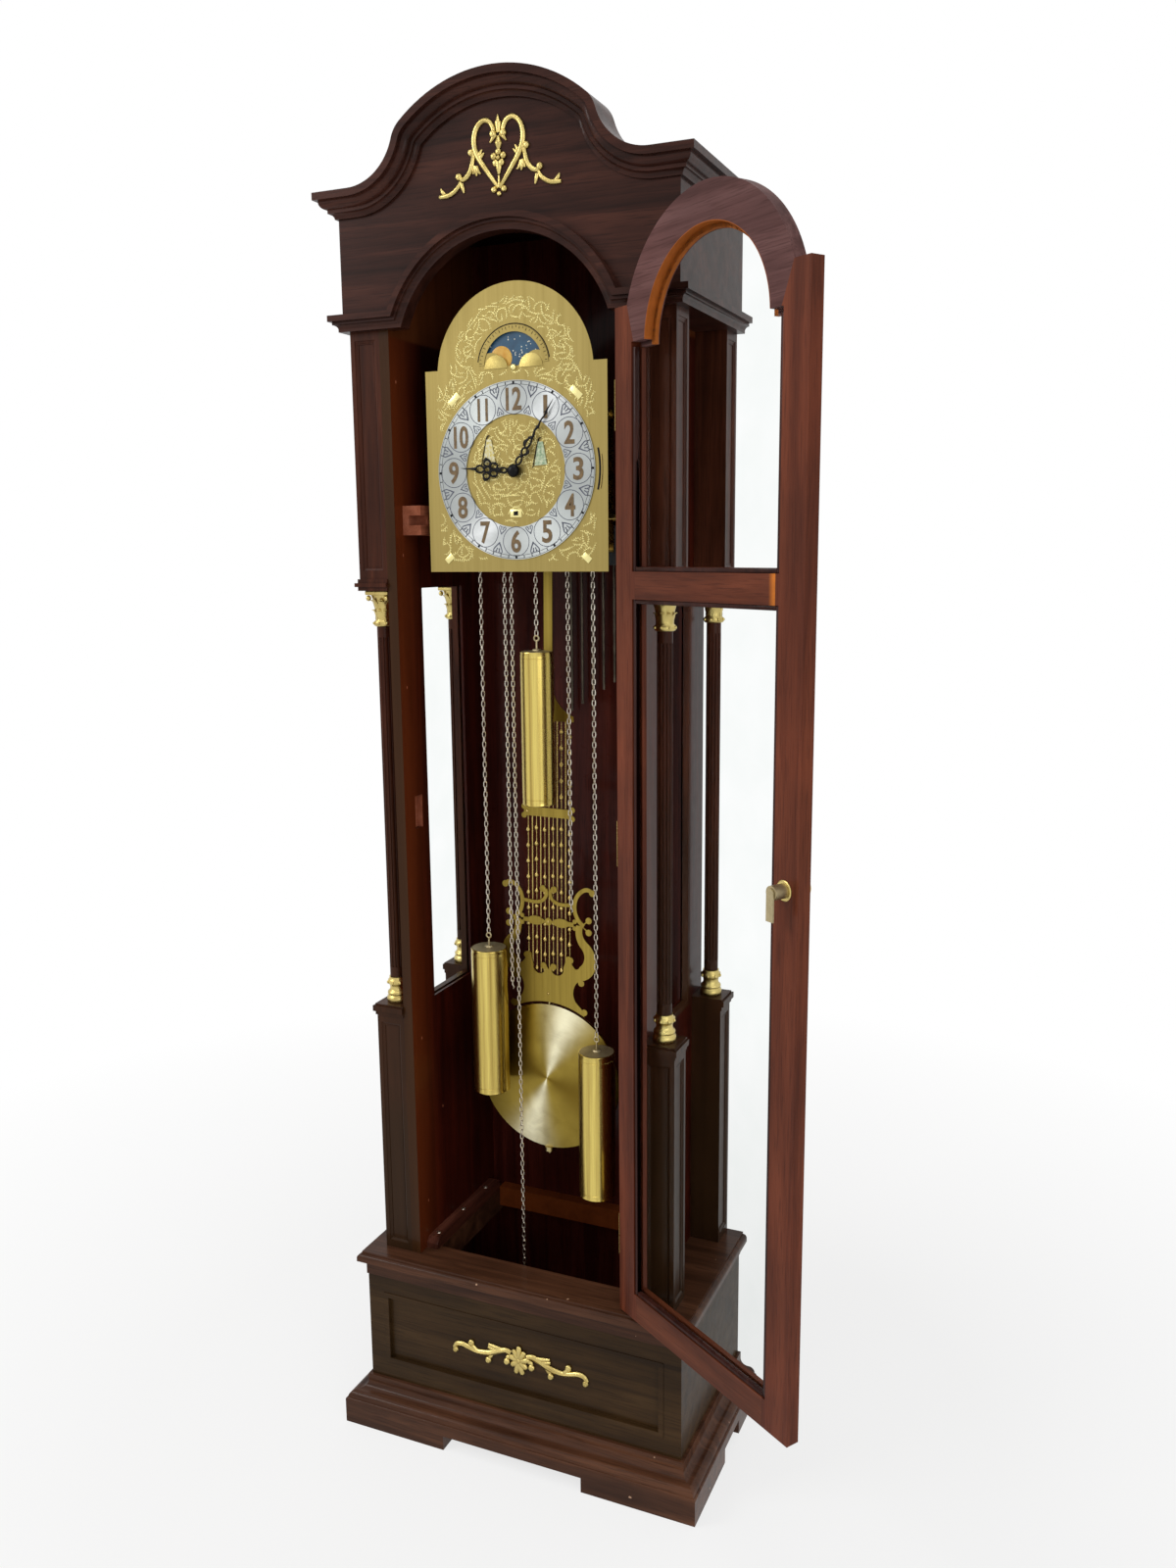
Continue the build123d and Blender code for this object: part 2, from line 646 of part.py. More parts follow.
def window_beads():
    """Beads that hold the side panes from outside."""
    x0 = WAIST_HALF + WINDOW_LIP_T + GLASS_T
    x1 = WALL_OUT + WINDOW_BEAD_PROUD
    ring = window_block(WINDOW_LIP, x0, x1) - window_block(-WINDOW_LIP / 3, x0 - 1, x1 + 1)
    return both_sides(ring)


# ---------------------------------------------------------------- turrets
def at_turrets(shape):
    """Copies of a right-hand front piece on the four turrets; the shape is centred on one."""
    rear = mirror(shape, about=Plane.XZ)
    front_pair = both_sides(Pos(TURRET_X, TURRET_FRONT_Y, 0) * shape)
    return front_pair + both_sides(Pos(TURRET_X, TURRET_REAR_Y, 0) * rear)


def turret_block(out, z0, z1):
    """Square block of a front turret, grown on its open sides."""
    half = TURRET_W / 2
    return block(-half, half + out, -half - out, half, z0, z1)


def sunk_panels(z0, z1):
    """Cutters for the sunk panels in a turret's front and outer side."""
    half = TURRET_W / 2
    reach = half - TURRET_PANEL_MARGIN
    low, high = z0 + TURRET_PANEL_END, z1 - TURRET_PANEL_END
    front = block(-reach, reach, -half - 1, -half + TURRET_PANEL_D, low, high)
    side = block(half - TURRET_PANEL_D, half + 1, -reach, reach, low, high)
    return front + side


def turret_pedestals():
    """Pedestals with sunk panels and a stepped cap."""
    shape = turret_block(0, SILL_Z, COLUMN_BASE_Z) - sunk_panels(SILL_Z, PEDESTAL_TOP)
    third = PEDESTAL_CAP_H / 3
    shape += turret_block(PEDESTAL_CAP_OUT * 0.4, PEDESTAL_TOP, COLUMN_BASE_Z)
    shape += turret_block(PEDESTAL_CAP_OUT, PEDESTAL_TOP + third, COLUMN_BASE_Z - third / 2)
    return at_turrets(shape)


def turret_posts():
    """Upper posts with a neck moulding and sunk panels."""
    shape = turret_block(0, NECK_Z, HOOD_Z) - sunk_panels(POST_Z, HOOD_Z)
    third = NECK_H / 3
    shape += turret_block(NECK_OUT * 0.4, NECK_Z, POST_Z)
    shape += turret_block(NECK_OUT, NECK_Z + third, POST_Z - third)
    return at_turrets(shape)


def turret_columns():
    """Fluted columns."""
    column = rod_z(COLUMN_R, 0, 0, COLUMN_Z, CAPITAL_Z)
    flute = rod_z(FLUTE_R, COLUMN_R, 0, COLUMN_Z + FLUTE_END, CAPITAL_Z - FLUTE_END)
    for index in range(FLUTES):
        column -= Rot(0, 0, 360 / FLUTES * index) * flute
    return at_turrets(column)


def turned(points):
    """Turned piece from (radius, height) points, closed along the axis."""
    profile = outline((0, points[0][1]), *points, (0, points[-1][1]))
    return revolve(Plane.XZ * profile, axis=Axis.Z)


def column_mounts():
    """Cast bases and capitals of the columns."""
    h, r = COLUMN_BASE_H, COLUMN_BASE_R
    neck = COLUMN_R + 1
    base = turned([(r, 0), (r, h * 0.2), (r * 0.82, h * 0.26), (r * 0.82, h * 0.4), (r * 0.9, h * 0.5),
                   (r * 0.78, h * 0.62), (neck, h * 0.75), (neck, h)])
    h, half = CAPITAL_H, CAPITAL_TOP_HALF
    bell = turned([(neck, 0), (neck + 2, h * 0.04), (neck, h * 0.1), (neck * 1.1, h * 0.45),
                   (half * 0.8, h * 0.75), (half * 0.95, h - ABACUS_H)])
    abacus = block(-half, half, -half, half, h - ABACUS_H, h)
    return at_turrets(Pos(0, 0, COLUMN_BASE_Z) * base) + at_turrets(Pos(0, 0, CAPITAL_Z) * (bell + abacus))


# ---------------------------------------------------------------- hood
def ear_centre():
    """Centre of the small round between the dome and the side curve, and its two angles."""
    reach, span = DOME_R - EAR_R, SWEEP_R + EAR_R
    dx, dz = SWEEP_X, SWEEP_Z - DOME_Z
    gap = hypot(dx, dz)
    along = (reach**2 - span**2 + gap**2) / (2 * gap)
    across = sqrt(reach**2 - along**2)
    x = (dx * along - dz * across) / gap
    z = DOME_Z + (dz * along + dx * across) / gap
    dome_angle = degrees(atan2(z - DOME_Z, x))
    sweep_angle = degrees(atan2(SWEEP_Z - z, SWEEP_X - x))
    return x, z, dome_angle, sweep_angle


EAR_X, EAR_Z, DOME_ANGLE, SWEEP_ANGLE = ear_centre()


def frieze_board():
    """Arched board of the hood front: dome and swept shoulders above, door arch below."""
    n = CROWN_RISE - CROWN_LIP
    top = CROWN_Z + n
    ear_turn = DOME_ANGLE - SWEEP_ANGLE
    foot_x = sqrt(ARCH_R**2 - ARCH_DROP**2)
    edges = [
        CenterArc((0, DOME_Z), DOME_R + n, DOME_ANGLE, 180 - 2 * DOME_ANGLE),
        CenterArc((EAR_X, EAR_Z), EAR_R + n, SWEEP_ANGLE, ear_turn),
        CenterArc((-EAR_X, EAR_Z), EAR_R + n, 180 - DOME_ANGLE, ear_turn),
        CenterArc((SWEEP_X, SWEEP_Z), SWEEP_R - n, 180 + SWEEP_ANGLE, 90 - SWEEP_ANGLE),
        CenterArc((-SWEEP_X, SWEEP_Z), SWEEP_R - n, 270, 90 - SWEEP_ANGLE),
        Line((SWEEP_X, top), (FRIEZE_HALF, top)),
        Line((FRIEZE_HALF, top), (FRIEZE_HALF, HOOD_Z)),
        Line((FRIEZE_HALF, HOOD_Z), (foot_x, HOOD_Z)),
        ThreePointArc((foot_x, HOOD_Z), (0, ARCH_Z + ARCH_R), (-foot_x, HOOD_Z)),
        Line((-foot_x, HOOD_Z), (-FRIEZE_HALF, HOOD_Z)),
        Line((-FRIEZE_HALF, HOOD_Z), (-FRIEZE_HALF, top)),
        Line((-FRIEZE_HALF, top), (-SWEEP_X, top)),
    ]
    return slab(make_face(edges), FRIEZE_Y, FRIEZE_BACK_Y)


def crown_profile(place, lip):
    """Crown moulding section; place maps (up, out) to the drawing, lip adds the top board."""
    cove, ovolo = CROWN_OUT * 0.27, CROWN_OUT * 0.35
    fillet_out = CROWN_OUT * 0.15
    lip_n = CROWN_RISE - CROWN_LIP
    ovolo_n = lip_n - CROWN_OUT * 0.08 - ovolo
    cove_out = fillet_out + cove
    r45 = sin(radians(45))
    points = [
        (0, fillet_out),
        ((cove * r45, cove_out - cove * r45), (cove, cove_out)),
        (ovolo_n, cove_out),
        ((ovolo_n + ovolo * (1 - r45), cove_out + ovolo * r45), (ovolo_n + ovolo, cove_out + ovolo)),
        (lip_n, cove_out + ovolo),
        (lip_n, CROWN_OUT),
        (CROWN_RISE, CROWN_OUT),
    ]
    back = -FRIEZE_T - CROWN_BACK
    points += [(CROWN_RISE, back), (lip_n, back), (lip_n, 0)] if lip else [(CROWN_RISE, 0)]
    placed = [tuple(place(*q) for q in p) if isinstance(p[0], tuple) else place(*p) for p in points]
    return outline(place(0, 0), *placed)


def turn_y(centre, radius, inward, start, sweep_angle, profile):
    """Moulding turned about a line along Y, from the start angle onwards."""
    sign = -1 if inward else 1
    face = profile(lambda up, out: (radius + sign * up, FRIEZE_Y - out))
    origin = (centre[0], 0, centre[1])
    x_dir = (cos(radians(start)), 0, sin(radians(start)))
    z_dir = (-sin(radians(start)), 0, cos(radians(start)))
    placed = Plane(origin=origin, x_dir=x_dir, z_dir=z_dir) * face
    return revolve(placed, axis=Axis(origin, (0, -1, 0)), revolution_arc=sweep_angle)


def crown_moulding():
    """Crown moulding over the dome, ears, side curves and shoulders, returned to the back."""
    def lipped(place):
        return crown_profile(place, True)

    plain = crown_profile(lambda up, out: (out, up), False)
    right = turn_y((EAR_X, EAR_Z), EAR_R, False, SWEEP_ANGLE, DOME_ANGLE - SWEEP_ANGLE, lipped)
    right += turn_y((SWEEP_X, SWEEP_Z), SWEEP_R, True, 180 + SWEEP_ANGLE, 90 - SWEEP_ANGLE, lipped)
    right += wrap_right(plain, SWEEP_X, FRIEZE_HALF, FRIEZE_Y, BACK_Y, CROWN_Z)
    lip_z = CROWN_Z + CROWN_RISE - CROWN_LIP
    lip = block(SWEEP_X, FRIEZE_HALF, FRIEZE_Y, FRIEZE_BACK_Y + CROWN_BACK, lip_z, CROWN_Z + CROWN_RISE)
    right += lip
    dome = turn_y((0, DOME_Z), DOME_R, False, DOME_ANGLE, 180 - 2 * DOME_ANGLE, lipped)
    return dome + right + mirror(right, about=Plane.YZ)


def arch_profile(place):
    """Arch moulding section; place maps (up, out) to the drawing."""
    cove = ARCH_OUT * 0.4
    bead_n = ARCH_BAND * 0.62
    low = ARCH_OUT * 0.3
    r45 = sin(radians(45))
    points = [
        (0, low),
        (ARCH_BAND * 0.14, low),
        ((ARCH_BAND * 0.14 + cove * r45, low + cove * (1 - r45)), (ARCH_BAND * 0.14 + cove, low + cove)),
        (bead_n, low + cove),
        (bead_n, ARCH_OUT),
        (ARCH_BAND, ARCH_OUT),
        (ARCH_BAND, 0),
    ]
    placed = [tuple(place(*q) for q in p) if isinstance(p[0], tuple) else place(*p) for p in points]
    return outline(place(0, 0), *placed)


def arch_moulding():
    """Moulding round the door arch, mitred to level runs that return along the sides."""
    inner = (sqrt(ARCH_R**2 - ARCH_DROP**2), HOOD_Z)
    outer_r, rise = ARCH_R + ARCH_BAND, ARCH_DROP + ARCH_BAND
    outer = (sqrt(outer_r**2 - rise**2), HOOD_Z + ARCH_BAND)
    slope = (outer[0] - inner[0]) / (outer[1] - inner[1])
    low, high = HOOD_Z - ARCH_BAND, HOOD_Z + 2 * ARCH_BAND
    low_x, high_x = inner[0] + slope * (low - inner[1]), inner[0] + slope * (high - inner[1])
    reach = FRIEZE_HALF + 2 * ARCH_OUT
    beyond = outline((low_x, low), (reach, low), (reach, high), (high_x, high))
    front, back = FRIEZE_Y - 2 * ARCH_OUT, BACK_Y + 1
    outside = slab(beyond, front, back)
    start = degrees(atan2(ARCH_DROP, inner[0])) - 5
    ring = turn_y((0, ARCH_Z), ARCH_R, False, start, 180 - 2 * start, arch_profile)
    below = block(-reach, reach, front, back, low - ARCH_BAND, HOOD_Z)
    ring = ring - outside - mirror(outside, about=Plane.YZ) - below
    run = wrap_right(arch_profile(lambda up, out: (out, up)), low_x, FRIEZE_HALF, FRIEZE_Y, BACK_Y, HOOD_Z)
    run = run & outside
    return ring + run + mirror(run, about=Plane.YZ)


def hood_sides():
    """Side boards of the hood with the soffits that close over the turrets."""
    side = block(FRIEZE_HALF - HOOD_SIDE_T, FRIEZE_HALF, FRIEZE_BACK_Y, BACK_Y, HOOD_Z, HOOD_TOP)
    soffit = block(WALL_OUT, FRIEZE_HALF, FRIEZE_BACK_Y, BACK_Y, HOOD_Z, HOOD_Z + SOFFIT_T)
    return both_sides(side + soffit)


def roof_board():
    """Board that closes the hood, on the walls and the back board."""
    half = FRIEZE_HALF - HOOD_SIDE_T
    return block(-half, half, FRIEZE_BACK_Y, BACK_Y, ROOF_Z, ROOF_Z + ROOF_T)


# ---------------------------------------------------------------- cast mounts
def leaf_spray(half_width, height, leaves):
    """Half of a scrolled spray as (x, z): leaves that shrink away from the middle."""
    shape = Ellipse(half_width * 0.2, height / 2)
    pitch = half_width / (leaves + 1)
    for index in range(1, leaves + 1):
        fall = 1 - index / (leaves + 2)
        leaf = Ellipse(pitch * 0.85, height * 0.3 * fall)
        shape += Pos(pitch * index, 0) * Rot(0, 0, 35 * (-1) ** index) * leaf
    tip = pitch * 0.5
    return shape + Pos(half_width - tip, 0) * Circle(tip)


def cast_mount(half_width, height, z, y, leaves):
    """Symmetrical scrolled mount of flat section against the plane y."""
    spray = leaf_spray(half_width, height, leaves)
    shape = spray + mirror(spray, about=Plane.YZ)
    return slab(Pos(0, z) * shape, y - MOUNT_T, y)


# ---------------------------------------------------------------- door, drawn closed
def head_joint(side, inner_x):
    """Slanting joint of the arched head to a stile, as two (x, z) points."""
    shoulder_x = sqrt(HEAD_R**2 - (DOOR_SHOULDER - ARCH_Z) ** 2)
    return (inner_x, HEAD_FOOT_Z), (side * shoulder_x, DOOR_SHOULDER)


def glass_outline_lower(grow):
    """Lower pane as (x, z), grown all round."""
    x0, x1 = STILE_IN_LEFT - grow, STILE_IN_RIGHT + grow
    return rectangle(x0, x1, DOOR_Z + BOTTOM_RAIL_H - grow, MID_RAIL_Z + grow)


def glass_outline_upper(grow):
    """Upper pane as (x, z), grown all round: a rectangle under an arch."""
    x0, x1 = STILE_IN_LEFT - grow, STILE_IN_RIGHT + grow
    shape = rectangle(x0, x1, MID_RAIL_Z + MID_RAIL_H - grow, HEAD_FOOT_Z + grow)
    return shape + Pos(0, ARCH_Z) * Circle(HEAD_INNER_R + grow)


def rebated(shape):
    """Cut the rebates of both panes into a frame member, from the back."""
    pocket = slab(glass_outline_lower(DOOR_REBATE), DOOR_GLASS_Y, DOOR_BACK_Y + 1)
    pocket += slab(glass_outline_upper(DOOR_REBATE), DOOR_GLASS_Y, DOOR_BACK_Y + 1)
    return shape - pocket


def stile(side, inner_x):
    """Door stile with its slanting top joint."""
    foot, shoulder = head_joint(side, inner_x)
    edge = side * DOOR_HALF
    shape = outline((edge, DOOR_Z), (edge, DOOR_SHOULDER), shoulder, foot, (inner_x, DOOR_Z))
    return rebated(slab(shape, WAIST_FRONT_Y, DOOR_BACK_Y))


def door_lock_stile():
    """Lock stile, bored for the cam lock."""
    bore = rod_y(BARREL_R + RUN_FIT, LOCK_X, LOCK_Z, WAIST_FRONT_Y - 1, DOOR_BACK_Y + 1)
    return stile(-1, STILE_IN_LEFT) - bore


def door_arch_head():
    """Arched head between the stiles."""
    left_foot, left_top = head_joint(-1, STILE_IN_LEFT)
    right_foot, right_top = head_joint(1, STILE_IN_RIGHT)
    inner_x = sqrt(HEAD_INNER_R**2 - HEAD_FOOT_DROP**2)
    shape = outline(
        right_foot,
        right_top,
        ((0, ARCH_Z + HEAD_R), left_top),
        left_foot,
        (-inner_x, HEAD_FOOT_Z),
        ((0, ARCH_Z + HEAD_INNER_R), (inner_x, HEAD_FOOT_Z)),
    )
    return rebated(slab(shape, WAIST_FRONT_Y, DOOR_BACK_Y))


def door_rail(z0, height):
    """Level rail between the stiles."""
    shape = rectangle(STILE_IN_LEFT, STILE_IN_RIGHT, z0, z0 + height)
    return rebated(slab(shape, WAIST_FRONT_Y, DOOR_BACK_Y))


def door_pane(shape):
    """Pane against the front of its rebate."""
    return slab(shape, DOOR_GLASS_Y, DOOR_GLASS_Y + GLASS_T)


def hinge_heights():
    """Middles of the three hinges."""
    low, high = DOOR_Z + HINGE_INSET, DOOR_SHOULDER - HINGE_INSET
    return [low, (low + high) / 2, high]


def hinge_leaf(x0, x1, own):
    """One leaf with every second knuckle, drawn round z = 0; own is 0 for the outer knuckles."""
    leaf = block(x0, x1, WAIST_FRONT_Y + KNUCKLE_GAP, WAIST_FRONT_Y + LEAF_W, -LEAF_H / 2, LEAF_H / 2)
    pitch = LEAF_H / KNUCKLES
    bore = rod_z(PIN_R + RUN_FIT, HINGE_X, HINGE_Y, -LEAF_H, LEAF_H)
    for index in range(own, KNUCKLES, 2):
        z0 = -LEAF_H / 2 + pitch * index + KNUCKLE_GAP / 2
        z1 = z0 + pitch - KNUCKLE_GAP
        knuckle = rod_z(KNUCKLE_R, HINGE_X, HINGE_Y, z0, z1)
        knuckle += block(x0, x1, HINGE_Y, WAIST_FRONT_Y + KNUCKLE_GAP, z0, z1)
        leaf += knuckle - bore
    return leaf


def hinge_case_leaves():
    """Leaves on the wall, each holding the hinge pin."""
    leaf = hinge_leaf(WAIST_HALF - LEAF_T, WAIST_HALF, 0)
    leaf += rod_z(PIN_R, HINGE_X, HINGE_Y, -LEAF_H / 2, LEAF_H / 2)
    cap = rod_z(KNUCKLE_R, HINGE_X, HINGE_Y, 0, LEAF_T)
    reach = (LEAF_H - KNUCKLE_GAP) / 2
    leaf += Pos(0, 0, reach) * cap
    leaf += Pos(0, 0, -reach - LEAF_T) * cap
    return [Pos(0, 0, z) * leaf for z in hinge_heights()]


def hinge_door_leaves():
    """Leaves on the door's edge."""
    leaf = hinge_leaf(DOOR_HALF, DOOR_HALF + LEAF_T, 1)
    return [opened(Pos(0, 0, z) * leaf) for z in hinge_heights()]


def lock_barrel():
    """Barrel through the lock stile, with a flange outside."""
    barrel = rod_y(BARREL_R, LOCK_X, LOCK_Z, WAIST_FRONT_Y, DOOR_BACK_Y + BARREL_INSIDE)
    barrel += rod_y(BARREL_FLANGE_R, LOCK_X, LOCK_Z, WAIST_FRONT_Y - BARREL_FLANGE_T, WAIST_FRONT_Y)
    return barrel - rod_y(SPINDLE_R + RUN_FIT, LOCK_X, LOCK_Z, WAIST_FRONT_Y - KNOB_T, CAM_Y)


def lock_cam():
    """Spindle with the cam plate that hangs down when unlocked."""
    knob_y = WAIST_FRONT_Y - BARREL_FLANGE_T - CAM_GAP
    spindle = rod_y(SPINDLE_R, LOCK_X, LOCK_Z, knob_y, CAM_Y)
    plate = Pos(LOCK_X, LOCK_Z) * Circle(CAM_W / 2)
    plate += rectangle(LOCK_X - CAM_W / 2, LOCK_X + CAM_W / 2, LOCK_Z - CAM_LENGTH, LOCK_Z)
    return spindle + slab(plate, CAM_Y, CAM_Y + CAM_T)


def door_knob():
    """Round knob in front of the lock."""
    back = WAIST_FRONT_Y - BARREL_FLANGE_T - CAM_GAP
    knob = rod_y(KNOB_R, LOCK_X, LOCK_Z, back - KNOB_T, back)
    return fillet(knob.edges().sort_by(Axis.Y)[0], KNOB_T * 0.4)


# ---------------------------------------------------------------- dial and hands
def dial_plate():
    """Arched dial with the moon window and the feet that hold it to the movement."""
    arch_z = DIAL_TOP_Z - DIAL_ARCH_SINK
    shape = rectangle(-DIAL_HALF, DIAL_HALF, HAND_Z - DIAL_FOOT, DIAL_TOP_Z)
    shape += Pos(0, arch_z) * Circle(DIAL_ARCH_R)
    window = Pos(0, DIAL_TOP_Z) * Circle(MOON_WINDOW_R)
    window -= rectangle(-DIAL_HALF, DIAL_HALF, DIAL_TOP_Z - DIAL_HALF, DIAL_TOP_Z)
    for side in (-1, 1):
        window -= Pos(side * MOON_HUMP_X, DIAL_TOP_Z) * Circle(MOON_HUMP_R)
    shape -= window
    shape -= Pos(0, HAND_Z) * Circle(HOUR_PIPE_R + RUN_FIT)
    plate = slab(shape, DIAL_Y, DIAL_Y + DIAL_T)
    for x, z in plate_corners():
        plate += rod_y(DIAL_FOOT_R, x, z, DIAL_Y + DIAL_T, MOVEMENT_Y)
    return plate


def plate_corners():
    """Pillar places of the movement as (x, z)."""
    x = PLATE_HALF - PILLAR_INSET
    heights = (PLATE_Z + PILLAR_INSET, PLATE_Z + PLATE_H - PILLAR_INSET)
    return [(side * x, z) for side in (-1, 1) for z in heights]


def chapter_ring():
    """Raised ring that carries the hours."""
    return slab(Pos(0, HAND_Z) * (Circle(RING_OUT_R) - Circle(RING_IN_R)), DIAL_Y - RING_T, DIAL_Y)


def moon_disc():
    """Moon disc behind its window, on an arbor from the movement's front plate."""
    face_y = DIAL_Y + DIAL_T + MOON_GAP
    disc = rod_y(MOON_R, 0, DIAL_TOP_Z, face_y, face_y + MOON_T)
    return disc + rod_y(MOON_ARBOR_R, 0, DIAL_TOP_Z, face_y + MOON_T, MOVEMENT_Y + PLATE_T)




def hand_outline(length, hub_r):
    """Pierced hand pointing up from the origin."""
    shape = Circle(hub_r) + rectangle(-hub_r * 0.3, hub_r * 0.3, 0, length * 0.3)
    belly = length * 0.5
    shape += Pos(0, belly) * (Ellipse(length * 0.09, length * 0.22) - Ellipse(length * 0.05, length * 0.16))
    stem, stem_z = hub_r * 0.35, belly + length * 0.2
    shape += outline((-stem, stem_z), (stem, stem_z), (0, length))
    return shape


def hand(length, hub_r, angle, bore_r, y):
    """Hand plate turned clockwise from twelve."""
    shape = Rot(0, 0, -angle) * hand_outline(length, hub_r) - Circle(bore_r)
    return slab(Pos(0, HAND_Z) * shape, y, y + HAND_T)


def hour_hand():
    """Hour hand on its pipe."""
    pipe = rod_y(HOUR_PIPE_R, 0, HAND_Z, HOUR_Y, MOVEMENT_Y - HAND_GAP)
    pipe -= rod_y(MINUTE_ARBOR_R + RUN_FIT, 0, HAND_Z, HOUR_Y - 1, MOVEMENT_Y)
    return hand(HOUR_LENGTH, HOUR_PIPE_R + 4, HOUR_ANGLE, HOUR_PIPE_R - 0.5, HOUR_Y) + pipe


def minute_hand():
    """Minute hand on the centre arbor."""
    arbor = rod_y(MINUTE_ARBOR_R, 0, HAND_Z, MINUTE_Y - HAND_GAP, MOVEMENT_Y + PLATE_T)
    return hand(MINUTE_LENGTH, HOUR_PIPE_R + 3, MINUTE_ANGLE, MINUTE_ARBOR_R - 0.5, MINUTE_Y) + arbor


# ---------------------------------------------------------------- movement
def sprocket_x(name):
    """Middle of a chain sprocket."""
    return weight_x(name) + CHAIN_SIDES[name] * SPROCKET_PITCH_R


def weight_x(name):
    """Middle of a weight."""
    return {"left": -WEIGHT_SPREAD, "centre": 0.0, "right": WEIGHT_SPREAD}[name]


def movement_frame():
    """Two plates on pillars, lugs that sit on the seat rods, and the pendulum's stud."""
    plate = rectangle(-PLATE_HALF, PLATE_HALF, PLATE_Z, PLATE_Z + PLATE_H)
    tongue = rectangle(-TONGUE_HALF, TONGUE_HALF, PLATE_Z + PLATE_H, DIAL_TOP_Z + TONGUE_HALF)
    front = slab(plate + tongue, MOVEMENT_Y, MOVEMENT_Y + PLATE_T)
    rear = slab(plate, REAR_PLATE_Y, MOVEMENT_END_Y)
    frame = front + rear
    for x, z in plate_corners():
        frame += rod_y(PILLAR_R, x, z, MOVEMENT_Y + PLATE_T, REAR_PLATE_Y)
    lug_z = SEAT_ROD_Z + SEAT_ROD_R
    for side in (-1, 1):
        x0, x1 = side * PLATE_HALF, side * (PLATE_HALF - SEAT_LUG_W)
        x0, x1 = min(x0, x1), max(x0, x1)
        frame += block(x0, x1, SEAT_FRONT_Y - SEAT_ROD_R, MOVEMENT_Y, lug_z, lug_z + SEAT_LUG_H)
        frame += block(x0, x1, MOVEMENT_END_Y, SEAT_REAR_Y + SEAT_ROD_R, lug_z, lug_z + SEAT_LUG_H)
    for name in CHAIN_SIDES:
        hole = rod_y(ARBOR_R + RUN_FIT, sprocket_x(name), SPROCKET_Z, MOVEMENT_Y - 1, MOVEMENT_END_Y + 1)
        frame -= hole
    frame -= rod_y(MINUTE_ARBOR_R + RUN_FIT, 0, HAND_Z, MOVEMENT_Y - 1, MOVEMENT_Y + PLATE_T + 1)
    frame -= rod_y(MOON_ARBOR_R + RUN_FIT, 0, DIAL_TOP_Z, MOVEMENT_Y - 1, MOVEMENT_Y + PLATE_T + 1)
    stud_end = PENDULUM_Y + LEADER_T / 2 + KNUCKLE_GAP
    frame += rod_y(STUD_R, 0, SWING_Z, MOVEMENT_END_Y, stud_end)
    frame += rod_y(STUD_HEAD_R, 0, SWING_Z, stud_end, stud_end + STUD_HEAD_T)
    return frame


def seat_blocks():
    """Blocks on the walls, slotted from above for the seat rods."""
    z0 = SEAT_ROD_Z - SEAT_BLOCK_H / 2
    z1 = z0 + SEAT_BLOCK_H
    inner = WAIST_HALF - SEAT_BLOCK_W
    shape = block(inner, WAIST_HALF, SEAT_BLOCK_Y, SEAT_BLOCK_Y + SEAT_BLOCK_DEPTH, z0, z1)
    reach = SEAT_ROD_R + RUN_FIT
    slot_end = WAIST_HALF - SEAT_BLOCK_W / 3
    for y in (SEAT_FRONT_Y, SEAT_REAR_Y):
        shape -= block(inner - 1, slot_end, y - reach, y + reach, SEAT_ROD_Z, z1 + 1)
        shape -= rod_x(reach, y, SEAT_ROD_Z, inner - 1, slot_end)
    notch_z, notch_y = SEAT_ROD_Z - SEAT_NOTCH_H / 2, SEAT_BLOCK_Y + SEAT_NOTCH_D
    shape -= block(inner - 1, slot_end, SEAT_BLOCK_Y - 1, notch_y, notch_z, notch_z + SEAT_NOTCH_H)
    return both_sides(shape)


def seat_rods():
    """Two rods across the case that carry the movement."""
    half = WAIST_HALF - SEAT_BLOCK_W / 3
    return [rod_x(SEAT_ROD_R, y, SEAT_ROD_Z, -half, half) for y in (SEAT_FRONT_Y, SEAT_REAR_Y)]


def sprocket(name):
    """Chain sprocket on its arbor between the plates."""
    x = sprocket_x(name)
    core_r = SPROCKET_PITCH_R - CHAIN_R - CHAIN_SEAT_GAP
    wheel = rod_y(core_r, x, SPROCKET_Z, CHAIN_Y - FLANGE_GAP, CHAIN_Y + FLANGE_GAP)
    for y0 in (CHAIN_Y - FLANGE_GAP - FLANGE_T, CHAIN_Y + FLANGE_GAP):
        wheel += rod_y(FLANGE_R, x, SPROCKET_Z, y0, y0 + FLANGE_T)
    return wheel + rod_y(ARBOR_R, x, SPROCKET_Z, MOVEMENT_Y, MOVEMENT_END_Y)


def weight_size(name):
    """Radius and height of a weight's shell."""
    return (CENTRE_WEIGHT_R, CENTRE_WEIGHT_H) if name == "centre" else (SIDE_WEIGHT_R, SIDE_WEIGHT_H)


def hook_top(name):
    """Height at which a weight hangs on its chain."""
    return WEIGHT_FEET[name] + weight_size(name)[1] + WEIGHT_HOOK_H


def weight(name):
    """Brass-shelled weight with rims, neck and hook."""
    radius, height = weight_size(name)
    rim = radius * 0.07
    shell = turned([(radius - 2 * rim, 0), (radius, rim), (radius, 2 * rim), (radius - rim, 3 * rim),
                    (radius - rim, height - 3 * rim), (radius, height - 2 * rim), (radius, height - rim),
                    (radius - 2 * rim, height), (radius * 0.2, height + 2 * rim)])
    ring_z = height + WEIGHT_HOOK_H - WEIGHT_EYE_R - WEIGHT_HOOK_R
    shell += rod_z(WEIGHT_HOOK_R * 1.5, 0, 0, height, ring_z - WEIGHT_EYE_R)
    shell += Pos(0, 0, ring_z) * Rot(90, 0, 0) * Torus(WEIGHT_EYE_R, WEIGHT_HOOK_R)
    return Pos(weight_x(name), CHAIN_Y, WEIGHT_FEET[name]) * shell


